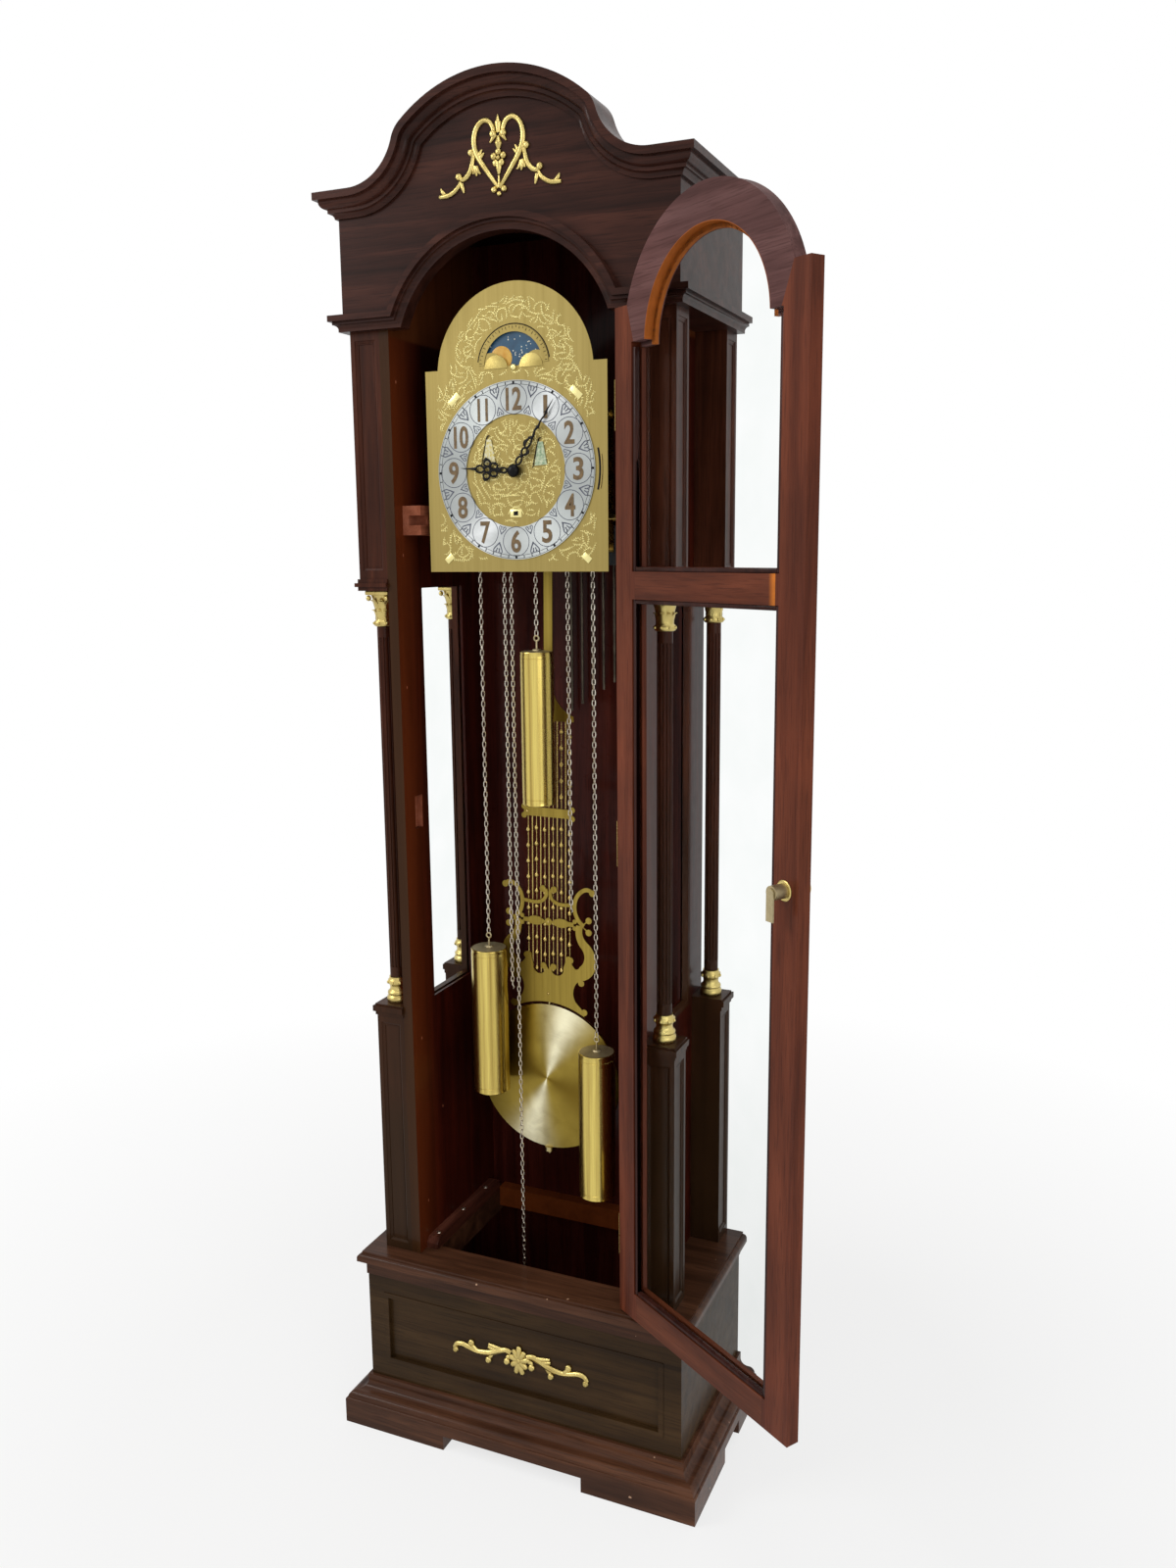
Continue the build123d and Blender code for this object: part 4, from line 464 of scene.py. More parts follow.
@dataclass(frozen=True)
class StudioFloor(Finish):
    """Pale floor that shows near white to the camera and keeps the shadow."""

    colour: Colour
    white: float = 0.75
    fade: tuple[float, float] = (0.7, 2.0)

    def build(self) -> bpy.types.Material:
        """Wire the floor.

        Returns:
            The material.
        """
        graph = Graph(self.name, Roughness=0.9)
        tone = graph.noise(graph.place(), 0.7, 2.0)
        lighter = tuple(min(1.0, c * 1.04) for c in self.colour)
        graph.link(graph.ramp(tone, [(0.3, self.colour), (0.7, lighter)]), "Base Color")
        glow = graph.node("ShaderNodeEmission", {"Color": (1, 1, 1, 1), "Strength": 1.0})
        parts = graph.split(graph.place())
        far = graph.remap(graph.length(parts[0], parts[1]), *self.fade, self.white, 1.0)
        share = graph.math("MULTIPLY", seen_rays(graph.tree), far)
        blend = graph.node("ShaderNodeMixShader", {0: share, 1: graph.shader.outputs[0], 2: glow.outputs[0]})
        graph.tree.links.new(blend.outputs[0], graph.output.inputs[0])
        return graph.material


def seen_rays(tree: bpy.types.NodeTree) -> Socket:
    """A value that is 1 for rays that see the backdrop as such.

    Args:
        tree: Node tree to add it to.

    Returns:
        The value output.
    """
    path = tree.nodes.new("ShaderNodeLightPath")
    total = path.outputs["Is Camera Ray"]
    for name in ("Is Glossy Ray", "Is Transmission Ray"):
        joined = tree.nodes.new("ShaderNodeMath")
        joined.operation = "MAXIMUM"
        tree.links.new(total, joined.inputs[0])
        tree.links.new(path.outputs[name], joined.inputs[1])
        total = joined.outputs[0]
    return total


RAW_ORANGE = srgb(168, 92, 38)
EDGE_OLIVE = srgb(62, 37, 18)
CHIPPED_WOOD = srgb(188, 150, 122)


class Shop:
    """Every finish used on the clock."""

    CROWN = Wood(
        "mahogany_dark", srgb(40, 22, 17), srgb(62, 35, 28), srgb(82, 48, 38), Lie.ACROSS, coat=0.12,
    )
    BASE = Wood("mahogany_olive", srgb(44, 30, 16), srgb(62, 44, 24), srgb(76, 56, 33), Lie.ACROSS, 0.42)
    MOULDING = Wood(
        "mahogany_moulding", srgb(54, 32, 21), srgb(80, 50, 34), srgb(104, 68, 48), Lie.ACROSS,
        coat=0.16, specks=0.005,
    )
    TURRET = Wood(
        "mahogany_turret", srgb(48, 23, 14), srgb(72, 37, 24), srgb(92, 50, 34), Lie.UP, 0.38,
        zones=(Zone(Lie.UP, 1.2, 0.5, srgb(54, 35, 20)),),
    )
    # Painted shade: the waist walls' dark colours are partly the stain and partly shade deepening into the
    # case; the first zone is painted light, lighter towards the front where light comes in.
    WALL = Wood(
        "waist_wall", srgb(34, 9, 5), srgb(58, 18, 10), srgb(80, 28, 15), Lie.UP, 0.32,
        zones=(
            Zone(Lie.DEEP, -0.03, -0.088, srgb(98, 43, 19)),
            Zone(Lie.UP, 1.700, 1.704, srgb(96, 50, 24)),
            Zone(Lie.DEEP, -0.1034, -0.1038, EDGE_OLIVE),
        ),
    )
    BACK = Wood("back_board", srgb(44, 14, 10), srgb(68, 25, 18), srgb(88, 36, 27), Lie.UP, 0.3)
    INSIDE = Wood("hood_inside", srgb(20, 9, 8), srgb(32, 16, 14), srgb(44, 23, 19), Lie.DEEP, 0.5, 0.0)
    CLEAT = Wood(
        "floor_cleat", srgb(56, 28, 20), srgb(86, 46, 35), srgb(112, 66, 52), Lie.DEEP, 0.42,
        zones=(Zone(Lie.DEEP, 0.1315, 0.1319, srgb(120, 58, 24)),),
    )
    SEAT = Wood("seat_block", srgb(128, 70, 50), srgb(164, 96, 70), srgb(184, 116, 90), Lie.DEEP, 0.6, 0.0)
    STILE = Wood(
        "door_upright", srgb(72, 32, 19), srgb(100, 49, 31), srgb(122, 64, 42), Lie.UP, 0.42, on_door=True,
    )
    RAIL = Wood(
        "door_rail", srgb(70, 32, 19), srgb(96, 48, 30), srgb(118, 62, 41), Lie.ACROSS, 0.42,
        zones=(Zone(Lie.ACROSS, -0.122, -0.130, srgb(196, 112, 40)),), on_door=True,
    )
    FOOT_RAIL = Wood(
        "door_foot_rail", srgb(72, 34, 20), srgb(98, 51, 32), srgb(120, 66, 44), Lie.ACROSS, 0.42,
        on_door=True,
    )
    HEAD = Wood(
        "door_head", srgb(70, 45, 43), srgb(100, 69, 67), srgb(122, 90, 88), Lie.ACROSS, 0.5, 0.0,
        zones=(Zone(Lie.ACROSS, 0.1182, 0.1173, RAW_ORANGE, 1.658, -0.1028),), on_door=True,
    )
    GLAZING = Wood(
        "glazing_bead", srgb(38, 18, 15), srgb(56, 29, 23), srgb(74, 40, 32), Lie.UP, 0.4, on_door=True,
    )

    CASTING = Metal("cast_brass", srgb(214, 194, 124), srgb(142, 118, 62), 0.3, Marks.CAST, tarnish=0.7)
    TUBE = Metal("weight_brass", srgb(222, 200, 112), srgb(132, 104, 44), 0.24, Marks.BRUSHED, tarnish=0.8)
    PLATE = Metal("dial_brass", srgb(158, 140, 84), srgb(138, 121, 68), 0.46, Marks.BRUSHED, tarnish=0.6)
    RELIEF = Metal("relief_brass", srgb(240, 228, 160), srgb(206, 190, 120), 0.3, Marks.CAST, tarnish=0.4)
    HUMP = Metal("hump_brass", srgb(186, 168, 102), srgb(132, 112, 58), 0.46, Marks.CAST, tarnish=0.8)
    SHEET = Metal("lyre_brass", srgb(164, 142, 66), srgb(130, 110, 48), 0.4, Marks.BRUSHED, tarnish=0.8)
    ROD = Metal("rod_brass", srgb(206, 182, 112), srgb(146, 122, 64), 0.26)
    # The bob and the silvered ring have a painted highlight and painted shade in bow-ties round their
    # centres.
    BOB = Metal(
        "bob_brass", srgb(158, 136, 60), srgb(116, 94, 34), 0.34, Marks.SPUN,
        centre=(-0.0132, 0.5721), tarnish=0.4, wedges=(72.0, 158.0),
    )
    SILVER = Metal(
        "silvered_ring", srgb(190, 194, 192), srgb(158, 162, 160), 0.42, Marks.SPUN, centre=(0.0, 1.513),
        coarseness=1.5, wedges=(58.0, 150.0), glint=(0.86, 0.88, 0.88),
    )
    STEEL = Metal("chain_steel", srgb(222, 212, 196), srgb(150, 138, 124), 0.3, tarnish=0.4)
    DARK_STEEL = Metal("dark_steel", srgb(92, 84, 72), srgb(48, 42, 36), 0.4, tarnish=0.7)
    PLATED = Metal("dull_plating", srgb(188, 174, 138), srgb(136, 122, 90), 0.48, tarnish=0.7)

    BLACK = Paint("black_enamel", srgb(8, 7, 8), srgb(16, 14, 15), 0.36, coat=0.02, sheen=0.12)
    INK = Paint("filigree_ink", srgb(58, 62, 78), srgb(88, 92, 108), 0.5)
    BRONZE = Paint("numeral_bronze", srgb(88, 66, 36), srgb(124, 98, 58))
    SKY = Paint("moon_sky", srgb(20, 60, 88), srgb(34, 80, 108), 0.42, 70.0)
    IVORY = Paint("star_ivory", srgb(226, 222, 200), srgb(244, 240, 224), 0.5)
    MOON = Paint("moon_gold", srgb(206, 148, 44), srgb(222, 178, 80), 0.45, 120.0)
    YELLOW = Paint("yellow_enamel", srgb(206, 184, 66), srgb(232, 230, 206), 0.3, 260.0)
    GREEN = Paint("green_enamel", srgb(116, 150, 112), srgb(214, 220, 188), 0.3, 260.0)
    IRON = Paint("chime_iron", srgb(24, 24, 25), srgb(42, 42, 43), 0.5)
    GLASS = Pane("clear_glass", (0.93, 0.955, 0.945))
    FLOOR = StudioFloor("studio_floor", srgb(226, 226, 225))


def dress_nodes(looks: dict[Finish, Sequence[str]]) -> None:
    """Give carried-over CAD nodes their finishes.

    Args:
        looks: Names of the nodes that each finish goes on.
    """
    for finish, names in looks.items():
        for name in names:
            finish.dress(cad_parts[name])


# ---------------------------------------------------------------- mesh building


def eased(points: Sequence[Point], steps: int = 6) -> list[Vector]:
    """A smooth line through points.

    Args:
        points: Points to go through, flat or in space.
        steps: Pieces between two points.

    Returns:
        The points of the line.
    """
    line = [Vector(p) for p in points]
    ends = [line[0] * 2 - line[1], *line, line[-1] * 2 - line[-2]]
    found = []
    for i in range(1, len(ends) - 2):
        a, b, c, d = ends[i - 1 : i + 3]
        square, cube = 2 * a - 5 * b + 4 * c - d, 3 * b - a - 3 * c + d
        for k in range(steps):
            t = k / steps
            found.append(0.5 * (2 * b + (c - a) * t + square * t**2 + cube * t**3))
    return found + [line[-1]]


class Solid:
    """A mesh being built, in millimetres in the clock's own frame."""

    def __init__(self) -> None:
        """Start an empty mesh."""
        self.bm = bmesh.new()

    def bar(self, path: Sequence[Point], radii: Sequence[float], sides: int = 8, flat: float = 1.0) -> None:
        """Round bar along a path, capped.

        Args:
            path: Points in space.
            radii: Radius at the path's start, end, or evenly placed points between.
            sides: Faces round it.
            flat: Its depth along Y as a share of its width.
        """
        line = [Vector(p) for p in path]
        last = len(line) - 1
        previous = None
        edges: list[BMEdge] = []
        for i, point in enumerate(line):
            tangent = (line[min(i + 1, last)] - line[max(i - 1, 0)]).normalized()
            reference = Vector((0, 1, 0)) if abs(tangent.y) < 0.9 else Vector((1, 0, 0))
            side = tangent.cross(reference).normalized()
            deep = side.cross(tangent).normalized()
            place = i / last * (len(radii) - 1)
            low = min(int(place), len(radii) - 2) if len(radii) > 1 else 0
            radius = radii[low] + (radii[min(low + 1, len(radii) - 1)] - radii[low]) * (place - low)
            radius = max(radius, 0.02)
            basis = Matrix((side * radius, deep * radius * flat, tangent)).transposed().to_4x4()
            here = Matrix.Translation(point) @ basis
            if previous is None:
                made = bmesh.ops.create_circle(
                    self.bm, cap_ends=True, segments=sides, radius=1.0, matrix=here
                )
                edges = list({edge for vert in made["verts"] for edge in vert.link_edges})
            else:
                made = bmesh.ops.extrude_edge_only(self.bm, edges=edges)["geom"]
                verts = [part for part in made if isinstance(part, BMVert)]
                fresh = set(verts)
                edges = [e for e in made if isinstance(e, BMEdge) and set(e.verts) <= fresh]
                bmesh.ops.transform(self.bm, matrix=here @ previous.inverted(), verts=verts)
            previous = here
        bmesh.ops.contextual_create(self.bm, geom=edges)

    def ball(self, centre: Point, radius: float, stretch: Point = (1, 1, 1), detail: int = 10) -> None:
        """Ball or lens.

        Args:
            centre: Its centre.
            radius: Its radius.
            stretch: Scale along the three axes.
            detail: Faces round it.
        """
        matrix = Matrix.Translation(centre) @ Matrix.Diagonal((*stretch, 1))
        bmesh.ops.create_uvsphere(
            self.bm, u_segments=detail, v_segments=max(4, detail // 2), radius=radius, matrix=matrix
        )

    def turned(self, profile: Sequence[Point], centre: Point, along: Lie = Lie.UP, steps: int = 32,
               angle: float = math.tau) -> None:
        """Shape turned from a profile.

        Args:
            profile: Radius and height of each point; open ends lie on the axis, or it is closed.
            centre: Where height is 0 on the axis.
            along: Direction of the axis.
            steps: Faces round it.
            angle: How far it goes round.
        """
        axis = [float(way is along) for way in Lie]
        verts = []
        for radius, height in profile:
            offset = (radius, 0, height) if along is Lie.UP else (radius, height, 0)
            verts.append(self.bm.verts.new(Vector(centre) + Vector(offset)))
        pairs = list(zip(verts, verts[1:]))
        if profile[0][0] > 0 and profile[-1][0] > 0:
            pairs.append((verts[-1], verts[0]))
        edges = [self.bm.edges.new(pair) for pair in pairs]
        full = angle == math.tau
        made = bmesh.ops.spin(
            self.bm, geom=verts + edges, cent=centre, axis=axis, angle=angle, steps=steps, use_merge=full
        )
        if not full:
            bmesh.ops.contextual_create(self.bm, geom=edges)
            tail = [part for part in made["geom_last"] if isinstance(part, BMEdge)]
            bmesh.ops.contextual_create(self.bm, geom=tail)

    def ring(self, centre: Point, radius: float, wire: float, flat: float = 1.0, steps: int = 32,
             sides: int = 6, start: float = 0.0, angle: float = math.tau) -> None:
        """Ring of wire facing the front.

        Args:
            centre: Its centre.
            radius: Radius of its middle line.
            wire: Radius of the wire.
            flat: Depth of the wire along Y as a share of its width.
            steps: Faces round the ring.
            sides: Faces round the wire.
            start: Where an open ring starts, in radians up from the right.
            angle: How far it goes round.
        """
        section = [
            (radius + wire * math.cos(math.tau * k / sides), wire * flat * math.sin(math.tau * k / sides))
            for k in range(sides)
        ]
        before = len(self.bm.verts)
        self.turned(section, centre, Lie.DEEP, steps, -angle if angle < math.tau else angle)
        if start:
            self.bm.verts.ensure_lookup_table()
            fresh = self.bm.verts[before:]
            bmesh.ops.rotate(self.bm, cent=centre, matrix=Matrix.Rotation(-start, 3, "Y"), verts=fresh)

    def block(self, low: Point, high: Point, bevel: float = 0.0) -> None:
        """Block between two corners.

        Args:
            low: Lowest corner.
            high: Highest corner.
            bevel: Width of its rounded edges.
        """
        middle = (Vector(low) + Vector(high)) / 2
        matrix = Matrix.Translation(middle) @ Matrix.Diagonal((*(Vector(high) - Vector(low)), 1))
        made = bmesh.ops.create_cube(self.bm, size=1.0, matrix=matrix)["verts"]
        if bevel:
            edges = list({edge for vert in made for edge in vert.link_edges})
            bmesh.ops.bevel(
                self.bm, geom=edges, offset=bevel, offset_type="OFFSET", affect="EDGES", segments=2,
                profile=0.5, material=-1, clamp_overlap=True,
            )

    def plate(self, outline: Sequence[Point], front: float, back: float) -> None:
        """Flat plate.

        Args:
            outline: Points as (x, z).
            front: Y of its front.
            back: Y of its back.
        """
        face = self.bm.faces.new([self.bm.verts.new((x, front, z)) for x, z in outline])
        made = bmesh.ops.extrude_face_region(self.bm, geom=[face])["geom"]
        verts = [part for part in made if isinstance(part, BMVert)]
        bmesh.ops.translate(self.bm, vec=(0, back - front, 0), verts=verts)

    def panel_frame(self, origin: Point, across: Point, up: Point, width: float, height: float,
                    steps: Sequence[Point]) -> None:
        """Mitred moulding round the inside of a rectangle.

        Args:
            origin: Corner of the rectangle.
            across: Direction of its width.
            up: Direction of its height.
            width: Its width.
            height: Its height.
            steps: Steps of the moulding inwards, each with its width and its rise.
        """
        start, right, rise = Vector(origin), Vector(across), Vector(up)
        corners = [start, start + right * width, start + right * width + rise * height, start + rise * height]
        face = self.bm.faces.new([self.bm.verts.new(corner) for corner in corners])
        face.normal_update()
        rim: list[bmesh.types.BMFace] = []
        for inwards, lift in steps:
            made = bmesh.ops.inset_region(
                self.bm, faces=[face], thickness=inwards, depth=lift, use_even_offset=True, use_boundary=True
            )
            rim += made["faces"]
        bmesh.ops.delete(self.bm, geom=[face], context="FACES_ONLY")
        verts = list({vert for part in rim for vert in part.verts})
        edges = list({edge for part in rim for edge in part.edges})
        bmesh.ops.solidify(self.bm, geom=rim + edges + verts, thickness=0.4)

    def stamp(self, pattern: bpy.types.Mesh, matrix: Matrix) -> None:
        """Add a copy of a small mesh.

        Args:
            pattern: Mesh in millimetres.
            matrix: Where it goes.
        """
        copy = pattern.copy()
        copy.transform(matrix)
        self.bm.from_mesh(copy)
        bpy.data.meshes.remove(copy)

    def pattern(self, name: str) -> bpy.types.Mesh:
        """End the mesh as a pattern for stamp, still in millimetres.

        Args:
            name: Name of the pattern.

        Returns:
            The pattern.
        """
        mesh = bpy.data.meshes.new(name)
        self.bm.to_mesh(mesh)
        self.bm.free()
        return mesh

    def take(self, other: "Solid", matrix: Matrix) -> None:
        """Add another mesh being built, which ends with this.

        Args:
            other: The other mesh.
            matrix: Where it goes.
        """
        mesh = other.pattern("part")
        self.stamp(mesh, matrix)
        bpy.data.meshes.remove(mesh)

    def turn(self, centre: Point, angle: float, axis: str) -> None:
        """Turn all of it about an axis through centre."""
        bmesh.ops.rotate(self.bm, cent=centre, matrix=Matrix.Rotation(angle, 3, axis), verts=self.bm.verts[:])

    def finish(self, name: str, finish: Finish, body: Optional[str], slot: str, sharp: float = 38.0,
               replaces: Sequence[str] = ()) -> bpy.types.Object:
        """Make the object.

        Args:
            name: Name of the piece.
            finish: Its finish.
            body: Body that it rides on, or None to leave it unattached.
            slot: Not used.
            sharp: Angle in degrees over which an edge stays sharp.
            replaces: CAD nodes that it stands for.

        Returns:
            The object.
        """
        bmesh.ops.remove_doubles(self.bm, verts=self.bm.verts[:], dist=0.001)
        bmesh.ops.recalc_face_normals(self.bm, faces=self.bm.faces[:])
        bmesh.ops.transform(self.bm, matrix=Matrix.Scale(MM, 4), verts=self.bm.verts[:])
        mesh = bpy.data.meshes.new(name)
        self.bm.to_mesh(mesh)
        self.bm.free()
        mesh.shade_smooth()
        mesh.set_sharp_from_angle(angle=math.radians(sharp))
        obj = bpy.data.objects.new(name, mesh)
        bpy.context.scene.collection.objects.link(obj)
        finish.dress(obj)
        if body:
            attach(obj, body)
        if replaces:
            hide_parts(*replaces)
        LOG.info("%s: %d faces on %s", name, len(mesh.polygons), body or "two bodies")
        return obj


def words_mesh(text: str, height: float, width: float, depth: float) -> bpy.types.Mesh:
    """Plain figures as a mesh, centred, standing up and facing the front.

    Args:
        text: Figures.
        height: Height of the result.
        width: Width of the result.
        depth: Thickness of the result.

    Returns:
        The mesh, in millimetres.
    """
    curve = bpy.data.curves.new("figures", "FONT")
    curve.body = text
    curve.size = 40.0
    curve.extrude = depth / 2
    curve.resolution_u = 4
    curve.offset = 1.0
    holder = bpy.data.objects.new("figures", curve)
    bpy.context.scene.collection.objects.link(holder)
    bpy.context.view_layer.update()
    mesh = bpy.data.meshes.new_from_object(holder)
    bpy.data.objects.remove(holder)
    bpy.data.curves.remove(curve)
    xs = [v.co.x for v in mesh.vertices]
    ys = [v.co.y for v in mesh.vertices]
    middle = Vector(((min(xs) + max(xs)) / 2, (min(ys) + max(ys)) / 2, 0))
    scale = (width / (max(xs) - min(xs)), height / (max(ys) - min(ys)), 1.0, 1.0)
    upright = Matrix.Rotation(math.pi / 2, 4, "X")
    mesh.transform(upright @ Matrix.Diagonal(scale) @ Matrix.Translation(-middle))
    return mesh


# ---------------------------------------------------------------- the case


@dataclass
class Case:
    """Wooden case: finishes of its CAD pieces, mouldings, screws and cast mounts."""

    turret_x: float = 223.0
    turret_ys: tuple[float, float] = (-80.0, 134.0)
    turret_half: float = 24.0
    panel_margin: float = 6.0
    panel_end: float = 11.0
    panel_skin: float = 0.1
    panel_steps: tuple[tuple[float, float], ...] = (
        (1.0, 0.0), (0.4, -0.9), (3.2, -1.5), (0.5, 0.5), (1.0, 0.0), (0.3, -0.8),
    )
    pedestal: tuple[float, float] = (295.0, 690.0)
    post: tuple[float, float] = (1364.0, 1711.0)
    column_foot: float = 708.0
    capital_foot: float = 1294.0
    abacus_half: float = 19.6
    leaf_ring: int = 8
    frieze_y: float = -110.0
    frieze_centre: float = 1916.0
    panel_y: float = -122.0
    panel_centre: float = 165.5
    screw_x: float = 173.5
    screw_ys: tuple[float, ...] = (-62.0, 20.0, 100.0)
    cleat_top: float = 312.0
    wall_face: float = 183.6
    nails: tuple[tuple[float, float], ...] = (
        (-88.0, 1642.0), (-84.0, 1398.0), (-78.0, 650.0), (-20.0, 512.0), (-74.0, 372.0), (-86.0, 1204.0),
    )

    def build(self) -> None:
        """Build and dress the whole case."""
        dress_nodes({
            Shop.CROWN: ("crown_moulding", "frieze_board", "arch_moulding", "hood_sides"),
            Shop.BASE: ("base_carcass", "base_front_panel"),
            Shop.MOULDING: ("base_skirt", "base_cap", "base_feet"),
            Shop.TURRET: ("turret_pedestals", "turret_columns", "turret_posts", "window_beads"),
            Shop.WALL: ("wall_left", "wall_right"),
            Shop.BACK: ("back_board",),
            Shop.INSIDE: ("roof_board",),
            Shop.CLEAT: ("floor_cleats",),
            Shop.SEAT: ("seat_blocks",),
            Shop.GLASS: ("side_glass",),
            Shop.ROD: ("hinge_case_leaves",),
        })
        self.panel_mouldings()
        self.column_castings()
        self.frieze_mount()
        self.base_mount()
        self.cleat_screws()
        self.small_woodwork()

    def panel_mouldings(self) -> None:
        """Sloping mouldings round the sunk panels of the four turrets."""
        solid = Solid()
        out = self.turret_half - self.panel_skin
        width = 2 * (self.turret_half - self.panel_margin)
        for low, high in (self.pedestal, self.post):
            z0, height = low + self.panel_end, high - low - 2 * self.panel_end
            for side in (-1, 1):
                for y in self.turret_ys:
                    if y == self.turret_ys[0]:
                        place = (side * self.turret_x - width / 2, y - out, z0)
                        solid.panel_frame(place, (1, 0, 0), (0, 0, 1), width, height, self.panel_steps)
                    place = (side * (self.turret_x + out), y - side * width / 2, z0)
                    solid.panel_frame(place, (0, side, 0), (0, 0, 1), width, height, self.panel_steps)
        solid.finish("turret_panel_mouldings", Shop.TURRET, "case", "mahogany", 20)

    def leaf(self, length: float, width: float, lean: float) -> bpy.types.Mesh:
        """One acanthus leaf, rooted at the origin, rising and curling outwards towards +X.

        Args:
            length: Its height.
            width: Its width.
            lean: How far its tip stands out.

        Returns:
            The leaf as a pattern.
        """
        solid = Solid()
        bmesh.ops.create_grid(solid.bm, x_segments=4, y_segments=6, size=0.5)
        for vert in solid.bm.verts:
            across, rise = vert.co.x * 2, vert.co.y + 0.5
            lobe = 1.0 - 0.55 * rise**2 + 0.14 * math.sin(rise * 16.0)
            out = lean * rise**2.2 + 1.6 * (1 - abs(across)) + 0.4 * abs(math.sin(across * 5.0))
            droop = 0.22 * length * max(0.0, rise - 0.72) / 0.28
            vert.co = Vector((out, across * width / 2 * lobe, rise * length - droop))
        parts = solid.bm.faces[:] + solid.bm.edges[:] + solid.bm.verts[:]
        bmesh.ops.solidify(solid.bm, geom=parts, thickness=-0.7)
        return solid.pattern("acanthus_leaf")

    def column_castings(self) -> None:
        """Turned brass bases and acanthus capitals of the four columns."""
        solid = Solid()
        leaves = (
            (self.leaf(19.0, 11.5, 5.5), 10.8, 9.5, 0.0),
            (self.leaf(27.0, 12.5, 8.5), 11.2, 18.0, 0.5),
        )
        base = [
            (0, 0), (16.2, 0), (17, 1.2), (17.2, 5), (16.6, 9), (15, 10.2), (14.6, 11.4), (15.6, 12.6),
            (16, 14.6), (15.4, 16.6), (13.6, 18), (12.2, 20.5), (12, 24), (12.8, 27.5), (14.6, 29),
            (15.2, 32), (14.4, 35.6), (12.6, 37.4), (12.6, 40.6), (0, 40.9),
        ]
        bell = [
            (0, 0), (12.4, 0), (14.6, 1.4), (15.2, 4.6), (14.4, 8), (12.4, 9.6), (12.2, 12), (12.8, 24),
            (14.6, 36), (17.6, 44.5), (18.6, 47), (0, 47),
        ]
        foot, head, half = self.column_foot, self.capital_foot, self.abacus_half
        for side in (-1, 1):
            for y in self.turret_ys:
                x = side * self.turret_x
                solid.turned(base, (x, y, foot), steps=28)
                solid.turned(bell, (x, y, head), steps=24)
                solid.block((x - half, y - half, head + 46.6), (x + half, y + half, head + 52.9), 1.4)
                for k in range(self.leaf_ring):
                    for pattern, radius, rise, shift in leaves:
                        turn = Matrix.Rotation(math.tau * (k + shift) / self.leaf_ring, 4, "Z")
                        place = Matrix.Translation((x, y, head + rise))
                        solid.stamp(pattern, place @ turn @ Matrix.Translation((radius, 0, 0)))
                    angle = math.tau * k / self.leaf_ring
                    spot = Vector((x + 15 * math.cos(angle), y + 15 * math.sin(angle), 0))
                    solid.ball(spot + Vector((0, 0, head + 5)), 2.4, detail=6)
                    solid.ball(spot + Vector((0, 0, foot + 32)), 2.2, (1, 1, 1.3), 6)
                for sx in (-1, 1):
                    for sy in (-1, 1):
                        solid.ball((x + sx * 15.6, y + sy * 15.6, head + 42), 4.0, (1, 1, 1.1), 8)
        solid.finish("column_castings", Shop.CASTING, "case", "polished_brass", 50, ("column_mounts",))

    def scroll(self, solid: Solid, y: float, z: float, points: Sequence[Point], radii: Sequence[float],
               rib: bool = True) -> None:
        """A scroll and its mirror image.

        Args:
            solid: Mesh to add to.
            y: Depth of its middle line.
            z: Height of the mount's middle.
            points: Its line as (out, up) from the mount's middle.
            radii: Its radii along the line.
            rib: Whether a fine rib runs along its front.
        """
        for side in (-1, 1):
            line = eased([(side * u, y, z + v) for u, v in points])
            solid.bar(line, radii, 8, 0.8)
            if rib:
                raised = [point + Vector((0, -0.62 * radii[0], 0)) for point in line]
                solid.bar(raised, [radius * 0.36 for radius in radii], 6)

    def knobs(self, solid: Solid, y: float, z: float, places: Sequence[Point]) -> None:
        """Round scroll ends and their mirror images.

        Args:
            solid: Mesh to add to.
            y: Depth of their middles.
            z: Height of the mount's middle.
            places: Out, up and radius of each.
        """
        for out, up, radius in places:
            for side in (-1, 1) if out else (1,):
                solid.ball((side * out, y, z + up), radius, (1, 0.72, 1), 12)
                if radius > 4:
                    solid.ring((side * out, y - radius * 0.5, z + up), radius * 0.55, 0.7, steps=14)

    def frieze_mount(self) -> None:
        """Heart-shaped scroll mount with a flower and side sprays on the frieze."""
        solid = Solid()
        y, z = self.frieze_y - 1.2, self.frieze_centre
        heart = [
            (1, -40), (10, -28), (21, -13), (30, 0), (35.5, 13), (36, 27), (31, 39), (22, 45.5), (13, 43),
            (8, 35), (7, 28),
        ]
        spray = [(37, 8), (39, -3), (42, -13), (48, -21), (55, -24), (60, -20)]
        tail = [(58, -26), (62, -33), (72, -40), (82, -42), (90.5, -42)]
        self.scroll(solid, y, z, heart, [2.2, 3.4, 3.8, 3.6, 3.4, 2.6])
        self.scroll(solid, y, z, spray, [2.6, 3.4, 3.4, 2.4])
        self.scroll(solid, y, z, tail, [2.0, 3.2, 3.4, 2.4])
        for fan in (
            [(31, -1), (28, 5), (24.5, 10)], [(30, -3), (25.5, 2), (21.5, 5.5)],
            [(33, -10), (31, -16), (27, -20)], [(34, -10), (34, -17), (33, -22)],
            [(35, -9), (37, -15), (38.5, -19)], [(56, -29), (54.5, -35), (53, -41)],
            [(82, -40), (86, -36), (88, -32)], [(3, 26), (8, 22), (12, 17)],
        ):
            self.scroll(solid, y, z, fan, [2.4, 2.6, 1.0], False)
        ends = [(7.5, 27, 5.2), (41, 8, 4.6), (60, -20, 4.8), (7.5, -42, 4.4), (0, -47.5, 3.4)]
        self.knobs(solid, y, z, ends)
        flower = z - 3
        for k in range(5):
            angle = math.tau * k / 5 + math.pi / 2
            petal = (7.5 * math.cos(angle), y - 0.8, flower + 7.5 * math.sin(angle))
            solid.ball(petal, 4.6, (1, 0.5, 1), 10)
        solid.ball((0, y - 1.6, flower), 3.0, (1, 0.7, 1), 10)
